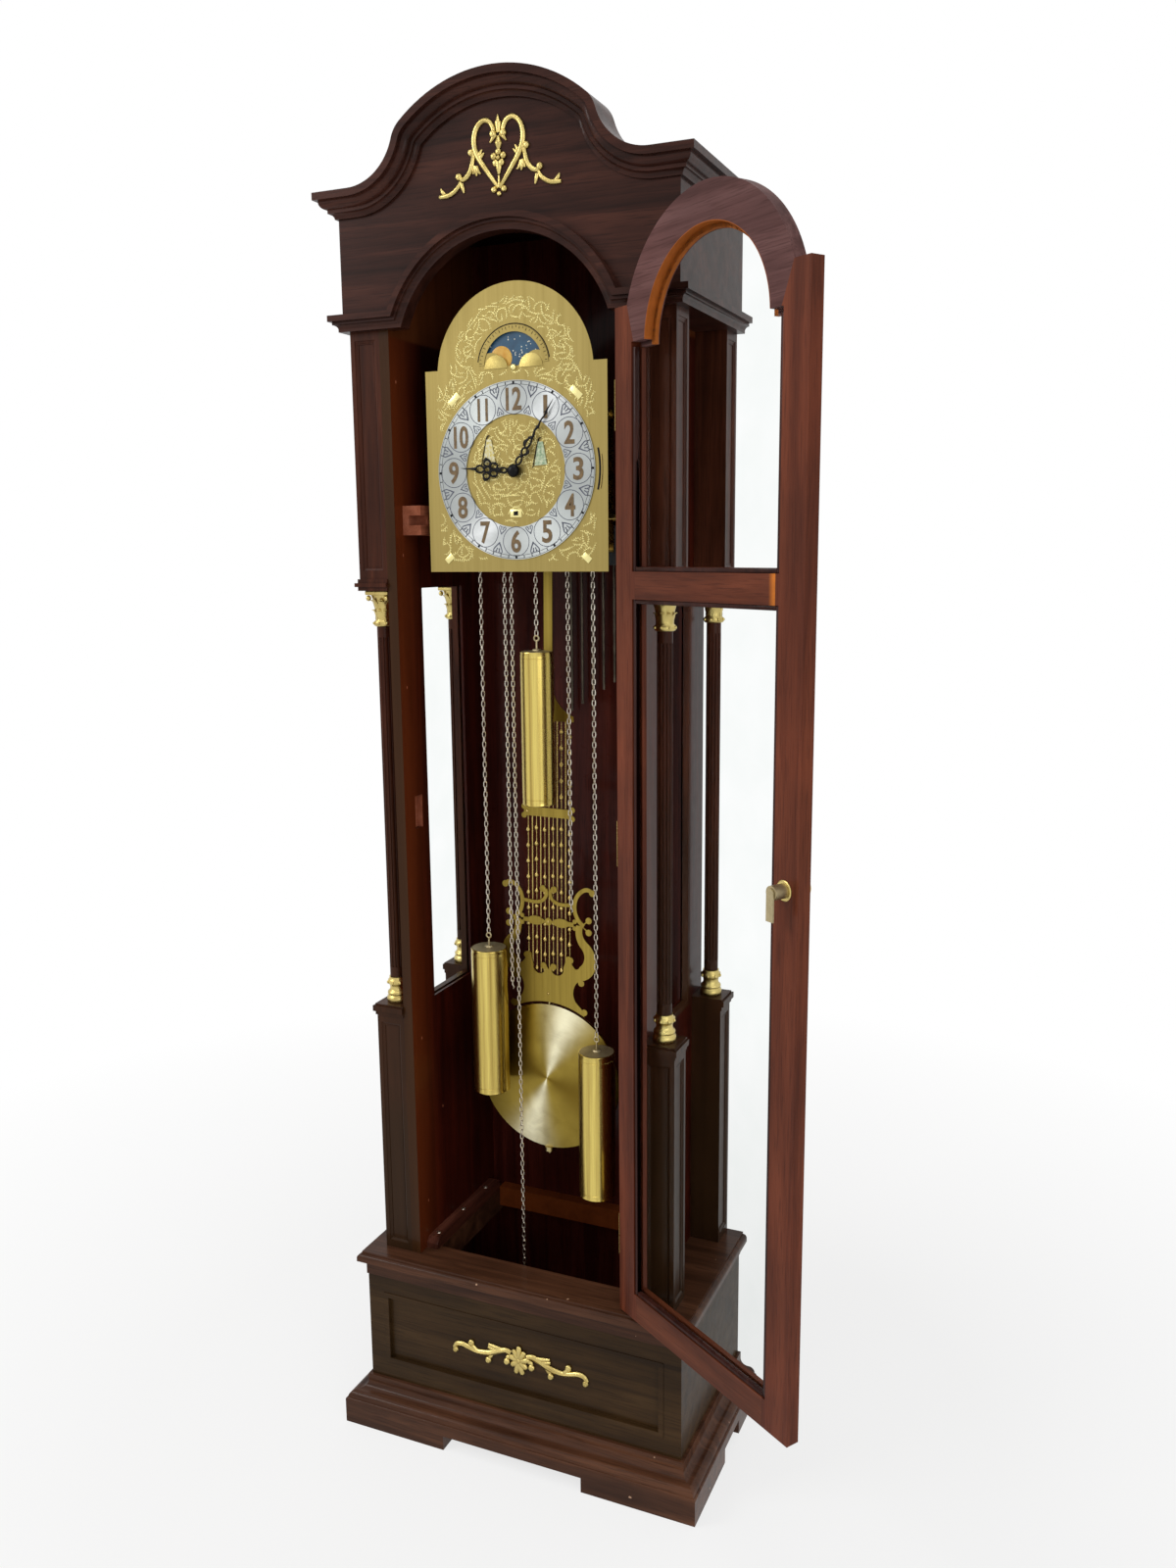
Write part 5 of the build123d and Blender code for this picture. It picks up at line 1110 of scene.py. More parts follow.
        for heights, radii in (
            ((28, 40, 50), [2.4, 4.6, 0.8]), ((24, 15, 6), [1.4, 5.2, 1.4]),
            ((-8, -16, -24), [4.8, 3.8, 1.2]), ((-24, -32, -40), [1.2, 1.4, 2.2]),
        ):
            solid.bar(eased([(0, y, z + v) for v in heights]), radii, 8, 0.7)
        solid.finish("frieze_scroll_mount", Shop.CASTING, "case", "polished_brass", 50, ("frieze_applique",))

    def base_mount(self) -> None:
        """Shell and wavy scroll sprays on the base panel."""
        solid = Solid()
        y, z = self.panel_y - 1.4, self.panel_centre
        stem = [
            (14, 9), (24, 11), (36, 6.5), (48, 1), (60, -2.2), (74, -3.4), (88, -0.6), (100, 2.2), (110, 0.5),
            (114.5, -6),
        ]
        self.scroll(solid, y, z, stem, [4.2, 4.8, 4.6, 4.2, 4.4, 3.6])
        for fan in (
            [(30, 10), (41, 11.5), (53, 14)], [(30, 8), (42, 6.5), (54, 9.5)], [(76, -2), (81, 3), (84, 8)],
            [(46, 0), (50, -6), (54, -11)], [(14, 2), (20, 0.5), (22, -5)],
        ):
            self.scroll(solid, y, z, fan, [3.6, 3.4, 2.2], False)
        self.knobs(solid, y, z, [(21.5, -7, 5.8), (84, 9, 5.6), (54, -13, 5.6), (112.5, -9.5, 5.2)])
        for k in range(9):
            angle = math.radians(-160 + 40 * k)
            reach = 22.0 if k % 2 == 0 else 19.0
            tip = (0.66 * reach * math.sin(angle), y - 1.0, z + 0.95 * reach * math.cos(angle))
            middle = (tip[0] / 2, y - 2.4, (z + tip[2]) / 2)
            solid.bar([(0, y - 0.6, z), middle, tip], [2.2, 4.2, 4.4], 8, 0.7)
            solid.ball(tip, 4.3, (1, 0.7, 1), 8)
        solid.ball((0, y, z), 14.0, (0.9, 0.16, 1.2), 14)
        solid.ball((0, y - 2.6, z), 3.4, (1, 0.6, 1.2), 10)
        solid.finish("base_scroll_mount", Shop.CASTING, "case", "polished_brass", 50, ("base_applique",))

    def cleat_screws(self) -> None:
        """Slotted screws in the floor cleats."""
        solid = Solid()
        top = self.cleat_top
        for side in (-1, 1):
            x = side * self.screw_x
            for y in self.screw_ys:
                head = [(0, -2), (3.8, -2), (4.2, 0.1), (3.2, 0.9), (0, 1.2)]
                solid.turned(head, (x, y, top), steps=16)
                solid.block((x - 3.2, y - 0.4, top + 0.9), (x + 3.2, y + 0.4, top + 1.3))
        solid.finish("cleat_screws", Shop.STEEL, "case", "steel", 30)

    def small_woodwork(self) -> None:
        """Filled nail holes in the walls and the raw wood in the strike mortise."""
        nails = Solid()
        for y, z in self.nails:
            for side in (-1, 1):
                nails.ball((side * self.wall_face, y, z), 1.5, (0.25, 1, 1.8), 8)
        nails.finish("nail_fillings", Shop.SEAT, "case", "raw_wood", 60)
        mortise = Solid()
        mortise.block((-193.4, -74.6, 985.6), (-192.6, -52.8, 1036.4))
        mortise.block((-192.6, -53.8, 985.6), (-183.9, -52.8, 1036.4))
        mortise.finish("strike_mortise_lining", Shop.SEAT, "case", "raw_wood", 30)


# ---------------------------------------------------------------- the door


@dataclass
class Door:
    """Glazed door: finishes, glazing beads, lock trim. Built closed and turned open with its hinge."""

    OPEN = math.radians(147.0)
    HINGE = (182.5, -107.5, 0.0)
    opening: tuple[float, float] = (-133.5, 139.5)
    lower: tuple[float, float] = (346.0, 1333.0)
    upper: tuple[float, float] = (1381.0, 1656.0)
    rebate: float = 5.8
    bead_w: float = 5.6
    bead_ys: tuple[float, float] = (-93.8, -86.3)
    bead_round: float = 1.2
    lock: tuple[float, float] = (-157.5, 1011.0)
    faces: tuple[float, float] = (-104.0, -85.0)

    @staticmethod
    def closing_shift() -> tuple[float, float, float]:
        """Shift in metres that, after the closing turn, brings the open door to its closed place."""
        hinge = Vector(Door.HINGE) * MM
        return tuple(hinge - Matrix.Rotation(-Door.OPEN, 3, "Z") @ hinge)

    def build(self) -> None:
        """Build and dress the whole door."""
        dress_nodes({
            Shop.STILE: ("door_hinge_stile", "door_lock_stile"),
            Shop.RAIL: ("door_mid_rail",),
            Shop.FOOT_RAIL: ("door_bottom_rail",),
            Shop.HEAD: ("door_arch_head",),
            Shop.GLASS: ("door_glass_upper", "door_glass_lower"),
            Shop.ROD: ("hinge_door_leaves", "door_knob"),
            Shop.PLATED: ("lock_barrel", "lock_cam"),
        })
        self.glazing_beads()
        self.lock_trim()

    def glazing_beads(self) -> None:
        """Dark beads that hold the panes from behind, in the rebates."""
        solid = Solid()
        x0, x1 = self.opening[0] - self.rebate, self.opening[1] + self.rebate
        y0, y1 = self.bead_ys
        width = self.bead_w
        low_z, mid_z = self.lower[0] - self.rebate, self.lower[1] + self.rebate
        for z0, z1 in ((low_z, mid_z), (self.upper[0] - self.rebate, self.upper[1])):
            solid.block((x0, y0, z0), (x0 + width, y1, z1), self.bead_round)
            solid.block((x1 - width, y0, z0), (x1, y1, z1), self.bead_round)
            solid.block((x0 + width, y0, z0), (x1 - width, y1, z0 + width), self.bead_round)
        solid.block((x0 + width, y0, mid_z - width), (x1 - width, y1, mid_z), self.bead_round)
        solid.turn(self.HINGE, self.OPEN, "Z")
        solid.finish("door_glazing_beads", Shop.GLAZING, "door", "mahogany", 30)

    def lock_trim(self) -> None:
        """Rose round the lock barrel and the ring turned on the knob."""
        solid = Solid()
        front = [(11.2, 0.0), (14.5, 0.0), (14.9, -0.8), (13.6, -1.9), (11.2, -2.2)]
        back = [(9.2, 0.0), (12.5, 0.0), (12.8, 0.7), (11.6, 1.6), (9.2, 1.8)]
        for profile, y in zip((front, back), self.faces):
            solid.turned(profile, (self.lock[0], y, self.lock[1]), Lie.DEEP, 28)
        solid.turn(self.HINGE, self.OPEN, "Z")
        solid.finish("lock_roses", Shop.CASTING, "door", "polished_brass", 30)


# ---------------------------------------------------------------- the dial


@dataclass
class Dial:
    """Arched moon dial: relief, hour ring, moon and hands."""

    centre_z: float = 1513.0
    face_y: float = -79.0
    ring_y: float = -80.5
    arch_z: float = 1645.0
    moon_z: float = 1654.0
    moon_y: float = -76.4
    moon_out: float = 20.0
    moon_up: float = 10.6
    hour_r: float = 97.0
    cartouche_r: float = 20.3
    track_rs: tuple[float, float] = (116.2, 120.6)
    hour_angle: float = 274.0
    hour_y: float = -82.75
    minute_angle: float = 34.0
    minute_y: float = -85.75
    figure_height: float = 31.0
    figure_width: float = 15.5
    figure_widths: dict[int, float] = field(default_factory=lambda: {1: 6.0, 10: 23.0, 11: 16.0, 12: 24.0})
    hump_x: float = 27.0
    hump_r: float = 18.0
    centre_relief: tuple[float, float] = (11.0, 71.0)
    ring_clear: float = 128.0
    moon_clear: float = 62.0
    arch_relief: float = 101.0
    spandrel: tuple[float, float, float] = (121.0, -123.0, 122.0)
    vine_step: float = 3.1
    vine_steps: int = 11
    vine_gap: float = 3.9
    vine_tries: int = 9000
    star_tries: int = 90
    seed: int = 7

    def build(self) -> None:
        """Build and dress the whole dial."""
        dress_nodes({Shop.PLATE: ("dial_plate",), Shop.SILVER: ("chapter_ring",), Shop.SKY: ("moon_disc",)})
        self.relief()
        self.plaques()
        self.hours()
        self.track()
        self.filigree()
        self.moon()
        self.enamel_flags()
        self.hour_hand()
        self.minute_hand()

    def on_relief(self, x: float, z: float) -> bool:
        """Whether the vine covers a point.

        Args:
            x: Across from the middle.
            z: Up from the hands' centre.

        Returns:
            True on the relief's ground.
        """
        radius = math.hypot(x, z)
        arch = self.arch_z - self.centre_z
        moon = self.moon_z - self.centre_z
        if radius < self.centre_relief[1]:
            on_plaque = abs(x) < 17 and -66 < z < -50
            return radius > self.centre_relief[0] and not on_plaque
        if radius < self.ring_clear:
            return False
        if math.hypot(x, z - moon) < self.moon_clear and z > moon - 5:
            return False
        half, foot, head = self.spandrel
        if z > head:
            return math.hypot(x, z - arch) < self.arch_relief
        return abs(x) < half and z > foot

    def leaf(self) -> bpy.types.Mesh:
        """One pointed leaf lying in the dial's plane, its root at the origin and its tip along +X."""
        solid = Solid()
        matrix = Matrix.Translation((1.7, 0, 0)) @ Matrix.Diagonal((1.7, 0.9, 0.75, 1))
        bmesh.ops.create_uvsphere(solid.bm, u_segments=5, v_segments=3, radius=1.0, matrix=matrix)
        return solid.pattern("leaf")

    def cell(self, x: float, z: float) -> tuple[int, int]:
        """Square of the relief's ground that a point lies in."""
        return round(x / self.vine_gap), round(z / self.vine_gap)

    def vine(self, solid: Solid, leaf: bpy.types.Mesh, chance: random.Random, taken: set[tuple[int, int]],
             start: tuple[float, float]) -> None:
        """One wandering stem with a leaf at each step.

        Args:
            solid: Solid that takes it.
            leaf: Leaf pattern.
            chance: Source of chance.
            taken: Cells that stems already pass, which it adds to.
            start: Where it starts, out and up from the hands' centre.
        """
        heading, bend = chance.uniform(0, math.tau), chance.uniform(-0.5, 0.5)
        line = [start]
        while len(line) < self.vine_steps:
            x, z = line[-1]
            ahead = (x + self.vine_step * math.cos(heading), z + self.vine_step * math.sin(heading))
            if self.cell(*ahead) in taken or not self.on_relief(*ahead):
                break
            line.append(ahead)
            heading += bend + chance.uniform(-0.12, 0.12)
        if len(line) < 4:
            return
        taken |= {self.cell(*point) for point in line}
        path = [(x, self.face_y - 0.2, self.centre_z + z) for x, z in line]
        solid.bar(path, [0.3, 0.36, 0.22], 3, 0.8)
        for k, (x, z) in enumerate(line[1:], 1):
            before = line[k - 1]
            course = math.atan2(z - before[1], x - before[0])
            for side in (-1, 1):
                lean = course + side * chance.uniform(0.7, 1.2)
                size = Matrix.Scale(chance.uniform(0.5, 0.85), 4)
                spot = Matrix.Translation((x, self.face_y, self.centre_z + z))
                solid.stamp(leaf, spot @ Matrix.Rotation(-lean, 4, "Y") @ size)

    def relief(self) -> None:
        """Vine relief on the spandrels, arch and centre."""
        chance = random.Random(self.seed)
        leaf = self.leaf()
        solid = Solid()
        taken: set[tuple[int, int]] = set()
        for _ in range(self.vine_tries):
            start = (chance.uniform(-122, 122), chance.uniform(-126, 240))
            if self.cell(*start) not in taken and self.on_relief(*start):
                vine = Solid()
                self.vine(vine, leaf, chance, taken, start)
                solid.take(vine, Matrix())
        bpy.data.meshes.remove(leaf)
        solid.finish("dial_relief", Shop.RELIEF, "case", "brushed_brass", 60)

    def plaques(self) -> None:
        """Plaques, pivot and lever of the dial, and painted shade in its slots and round the moon window."""
        solid = Solid()
        face, middle = self.face_y, self.centre_z
        for side in (-1, 1):
            for angle, reach, half in ((47.0, 138.0, 10.0), (-48.0, 161.5, 7.0)):
                turn = math.radians(angle)
                x, z = side * reach * math.cos(turn), middle + reach * math.sin(turn)
                plaque = Solid()
                plaque.block((-half, face - 0.9, -4.5), (half, face, 4.5), 0.5)
                plaque.turn((0, 0, 0), side * (math.pi / 2 - turn) * (1 if angle > 0 else -1), "Y")
                solid.take(plaque, Matrix.Translation((x, 0, z)))
        start, sweep = math.radians(12), math.radians(156)
        solid.ring((0, face - 0.1, middle - 62), 12.0, 0.8, 0.8, 24, start=start, angle=sweep)
        solid.block((-9, face - 0.7, middle - 63.5), (9, face, middle - 52.5), 0.4)
        pivot = [(0, -3.4), (2.4, -3.0), (4.2, -1.6), (4.6, 0), (0, 0)]
        solid.turned(pivot, (0, face, self.moon_z - 2), Lie.DEEP, 20)
        solid.finish("dial_plaques", Shop.RELIEF, "case", "brushed_brass", 40)
        # Black strips in the slots and the aperture are painted shade where the openings show dark, and the
        # black line round the moon window is a painted shadow under the plate's edge.
        dark = Solid()
        start, sweep = math.radians(-13), math.radians(25)
        dark.ring((0, face - 0.1, middle), 128.6, 1.4, 0.35, 20, start=start, angle=sweep)
        start, sweep = math.radians(8), math.radians(164)
        dark.ring((0, face - 0.05, self.moon_z), 55.4, 0.8, 0.5, 40, start=start, angle=sweep)
        dark.block((-3.5, face - 1.0, middle - 61), (3.5, face - 0.6, middle - 55))
        dark.finish("dial_slots_and_painted_shade", Shop.BLACK, "case", "blued_steel", 40)
        lever = Solid()
        start, sweep = math.radians(-12), math.radians(20)
        lever.ring((0, face - 0.6, middle), 131.6, 1.0, 0.7, 14, start=start, angle=sweep)
        lever.finish("strike_lever", Shop.ROD, "case", "brushed_brass", 40)

    def hours(self) -> None:
        """Bronze figures in ringed cartouches."""
        figures, rings = Solid(), Solid()
        for hour in range(1, 13):
            angle = math.tau * hour / 12
            x, z = self.hour_r * math.sin(angle), self.centre_z + self.hour_r * math.cos(angle)
            width = self.figure_widths.get(hour, self.figure_width)
            mesh = words_mesh(str(hour), self.figure_height, width, 0.5)
            figures.stamp(mesh, Matrix.Translation((x, self.ring_y - 0.2, z)))
            bpy.data.meshes.remove(mesh)
            rings.ring((x, self.ring_y, z), self.cartouche_r, 0.5, 0.7, 40, 4)
        figures.finish("hour_figures", Shop.BRONZE, "case", "blued_steel", 30)
        rings.finish("cartouche_rings", Shop.INK, "case", "blued_steel", 30)

    def track(self) -> None:
        """Railroad minute track on the edge of the hour ring."""
        solid = Solid()
        for radius in self.track_rs:
            solid.ring((0, self.ring_y, self.centre_z), radius, 0.28, 0.7, 96, 4)
        middle = Matrix.Translation((0, 0, self.centre_z))
        front, back = self.ring_y - 0.3, self.ring_y + 0.1
        for minute in range(60):
            half, top = (0.5, 120.2) if minute % 5 else (1.5, 120.4)
            tick = Solid()
            tick.block((-half, front, 116.6), (half, back, top))
            solid.take(tick, middle @ Matrix.Rotation(math.tau * minute / 60, 4, "Y"))
        solid.finish("minute_track", Shop.BLACK, "case", "blued_steel", 30)

    def filigree(self) -> None:
        """Inked curls in the corners between the cartouches."""
        motif = Solid()
        outer = [(0.4, -4.5), (2.6, -1.5), (4.8, 2.6), (3.2, 4.6), (2.0, 2.8)]
        inner = [(1.0, 0.0), (1.5, 3.0), (0.6, 4.4)]
        for side in (-1, 1):
            for curl, radii in ((outer, [0.7, 0.55, 0.4]), (inner, [0.6, 0.4])):
                motif.bar(eased([(side * x, 0, z) for x, z in curl], 3), radii, 3, 0.5)
        motif.ball((0, 0, -5.2), 0.9, (1, 0.4, 1), 6)
        mesh = motif.pattern("curl")
        solid = Solid()
        for k in range(12):
            angle = math.tau * (k + 0.5) / 12
            for radius, size, flip in ((109.5, 1.45, 0.0), (83.5, 1.1, math.pi)):
                x, z = radius * math.sin(angle), self.centre_z + radius * math.cos(angle)
                place = Matrix.Translation((x, self.ring_y - 0.05, z))
                solid.stamp(mesh, place @ Matrix.Rotation(angle + flip, 4, "Y") @ Matrix.Scale(size, 4))
        bpy.data.meshes.remove(mesh)
        solid.finish("ring_filigree", Shop.INK, "case", "blued_steel", 60)

    def moon(self) -> None:
        """Stars and two plain moons on the moon disc, and the gilt arc inside its window."""
        chance = random.Random(self.seed)
        stars = Solid()
        for _ in range(self.star_tries):
            radius, angle = chance.uniform(10, 46), chance.uniform(0, math.tau)
            x, z = radius * math.cos(angle), radius * math.sin(angle)
            if any(math.hypot(x - s * self.moon_out, z + s * self.moon_up) < 19 for s in (-1, 1)):
                continue
            stars.ball((x, self.moon_y, self.moon_z + z), chance.uniform(0.7, 1.15), (1, 0.25, 1), 6)
        stars.finish("moon_stars", Shop.IVORY, "moon", "blue_enamel", 60)
        moons = Solid()
        disc = [(0, -0.35), (14.4, -0.33), (16.8, -0.15), (17.0, 0.1), (0, 0.1)]
        for side in (-1, 1):
            centre = (side * self.moon_out, self.moon_y, self.moon_z - side * self.moon_up)
            moons.turned(disc, centre, Lie.DEEP, 36)
        moons.finish("moon_pair", Shop.MOON, "moon", "blue_enamel", 60)
        humps = Solid()
        for side in (-1, 1):
            disc = [(0, -1.6), (self.hump_r - 1, -1.6), (self.hump_r, -1.2), (self.hump_r, 0), (0, 0)]
            humps.turned(disc, (side * self.hump_x, self.face_y + 0.6, self.moon_z - 2.5), Lie.DEEP, 40)
        bmesh.ops.bisect_plane(
            humps.bm, geom=humps.bm.verts[:] + humps.bm.edges[:] + humps.bm.faces[:], dist=0.001,
            plane_co=(0, 0, self.moon_z - 2.5), plane_no=(0, 0, -1), clear_outer=True,
        )
        rims = [edge for edge in humps.bm.edges if edge.is_boundary]
        bmesh.ops.holes_fill(humps.bm, edges=rims, sides=0)
        humps.finish("moon_humps", Shop.HUMP, "case", "brushed_brass", 40)
        arc = Solid()
        section = [(45.0, 0.0), (53.8, 0.0), (53.8, -0.5), (45.0, -0.5)]
        place = (0, self.face_y - 0.3, self.moon_z)
        arc.turned(section, place, Lie.DEEP, 48, -math.radians(174))
        arc.turn(place, -math.radians(3), "Y")
        arc.finish("moon_arc", Shop.PLATE, "case", "brushed_brass", 30)
        ticks = Solid()
        middle = Matrix.Translation((0, 0, self.moon_z))
        for k in range(29):
            angle = math.radians(6 + 6 * k)
            tick = Solid()
            tick.block((-0.35, place[1] - 0.75, 50.6 if k % 2 else 48.8), (0.35, place[1] - 0.4, 52.6))
            ticks.take(tick, middle @ Matrix.Rotation(math.pi / 2 - angle, 4, "Y"))
        ticks.finish("moon_arc_ticks", Shop.BLACK, "case", "blued_steel", 60)

    def enamel_flags(self) -> None:
        """Two small enamelled flags on wire stems in the dial's centre."""
        stems = Solid()
        face, half, rise = self.face_y, 9.5, 32.0
        for side, name, finish, foot in (
            (-1, "enamel_flag_left", Shop.YELLOW, 12.0), (1, "enamel_flag_right", Shop.GREEN, 6.0),
        ):
            flag = Solid()
            x, z = side * 40.0, self.centre_z + foot
            outline = [(x - half, z), (x + half, z + 1), (x + 3.5, z + rise), (x - 3.5, z + rise)]
            flag.plate(outline, face - 1.4, face - 0.5)
            flag.finish(name, finish, "case", "blue_enamel", 30)
            stem = ((-half - 3, -3), (-half + 1, 14), (-3, rise + 3), (1, rise + 5))
            path = [(x + across, face - 1.2, z + up) for across, up in stem]
            stems.bar(eased(path, 4), [0.6, 0.9, 0.6], 6, 0.6)
        stems.finish("enamel_flag_stems", Shop.BLACK, "case", "blued_steel", 50)

    def hand_point(self, angle: float, along: float, across: float, y: float) -> tuple[float, float, float]:
        """A point on a hand.

        Args:
            angle: Where the hand points, in degrees clockwise from twelve.
            along: Distance from the centre.
            across: Distance clockwise from its middle line.
            y: Depth.

        Returns:
            The point.
        """
        turn = math.radians(angle)
        x = along * math.sin(turn) + across * math.cos(turn)
        z = along * math.cos(turn) - across * math.sin(turn)
        return x, y, self.centre_z + z

    def loops(self, solid: Solid, angle: float, y: float, loops: Sequence[Point],
              strokes: Sequence[tuple[Sequence[Point], Sequence[float]]]) -> None:
        """Pierced work of a hand.

        Args:
            solid: Mesh to add to.
            angle: Where the hand points.
            y: Depth of its middle.
            loops: Place along, place across, half length and half width of each loop.
            strokes: Lines as (along, across), with their radii.
        """
        for along, across, half_l, half_w in loops:
            line = []
            for k in range(17):
                turn = math.tau * k / 16
                out, side = half_l * math.cos(turn), half_w * math.sin(turn)
                line.append(self.hand_point(angle, along + out, across + side, y))
            solid.bar(line, [1.55, 1.55], 6, 0.55)
        for points, radii in strokes:
            line = eased([self.hand_point(angle, a, b, y) for a, b in points], 4)
            solid.bar(line, radii, 6, 0.6)

    def hour_hand(self) -> None:
        """Hour hand with a trefoil of loops."""
        solid = Solid()
        loops = [
            (17, 0, 5.6, 3.4), (32, 5.0, 5.6, 4.4), (32, -5.0, 5.6, 4.4), (43, 8.6, 5.0, 4.6),
            (43, -8.6, 5.0, 4.6), (42, 0, 5.0, 3.8), (54, 0, 6.6, 4.8),
        ]
        strokes = [
            ([(6, 0), (12, 0)], [2.0, 1.5]), ([(22, 0), (28, 0)], [2.0, 1.8]),
            ([(24.5, -4), (24.5, 4)], [1.1, 1.1]), ([(36, 0), (39, 0)], [1.6, 1.6]),
            ([(48, -4), (48, 4)], [1.4, 1.4]), ([(39, 12), (45, 15), (49, 12)], [0.6, 1.6, 0.5]),
            ([(39, -12), (45, -15), (49, -12)], [0.6, 1.6, 0.5]), ([(29, 11), (31, 7)], [0.5, 1.4]),
            ([(29, -11), (31, -7)], [0.5, 1.4]), ([(60, 0), (65, 0), (72, 0), (84, 0)], [2.8, 2.2, 1.1, 0.4]),
        ]
        self.loops(solid, self.hour_angle, self.hour_y, loops, strokes)
        collar = [(3.6, -0.75), (7.6, -0.75), (8.0, 0), (7.6, 0.75), (3.6, 0.75)]
        solid.turned(collar, (0, self.hour_y, self.centre_z), Lie.DEEP, 28)
        solid.finish("pierced_hour_hand", Shop.BLACK, "hour", "blued_steel", 50, ("hour_hand",))

    def minute_hand(self) -> None:
        """Serpentine minute hand with its round cap."""
        solid = Solid()
        loops = [(16, 0, 6.0, 3.8), (31, 0.6, 5.4, 4.0), (43.5, -0.4, 8.0, 3.6)]
        strokes = [
            ([(6, 0), (11, 0)], [2.0, 1.5]), ([(21.5, 0), (26.5, 0)], [2.2, 2.0]),
            ([(24, -4.2), (24, 4.2)], [1.0, 1.0]),
            ([(51, 0), (56, 1.0), (63, -1.0), (70, 0.6)], [2.0, 2.0, 1.6, 2.0]),
            ([(50, -5), (53, 0), (51, 5.4)], [0.5, 1.5, 0.5]),
            ([(27, 4.8), (32, 6.8), (38, 5.2)], [0.5, 1.6, 0.5]),
            ([(36, -4.8), (42, -6.4), (48, -4.0)], [0.5, 1.6, 0.5]),
            ([(67, -4.2), (70, 0), (67.5, 4.2)], [0.4, 1.2, 0.4]),
            ([(70, 0.6), (79, -0.4), (88, 0.8), (93, 0)], [1.9, 1.2, 1.3, 1.8]),
            ([(90, -3.4), (92.5, 0), (90.5, 3.4)], [0.4, 1.2, 0.4]),
            ([(93, 0), (101, 0), (112, 0)], [1.6, 1.0, 0.35]),
        ]
        self.loops(solid, self.minute_angle, self.minute_y, loops, strokes)
        profile = [(0, -6.0), (3.4, -5.6), (6.4, -4.2), (8.6, -1.8), (9.2, 0.2), (8.2, 1.3), (0, 1.3)]
        solid.turned(profile, (0, self.minute_y, self.centre_z), Lie.DEEP, 32)
        solid.finish("pierced_minute_hand", Shop.BLACK, "minute", "blued_steel", 50, ("minute_hand",))


# ---------------------------------------------------------------- the drive


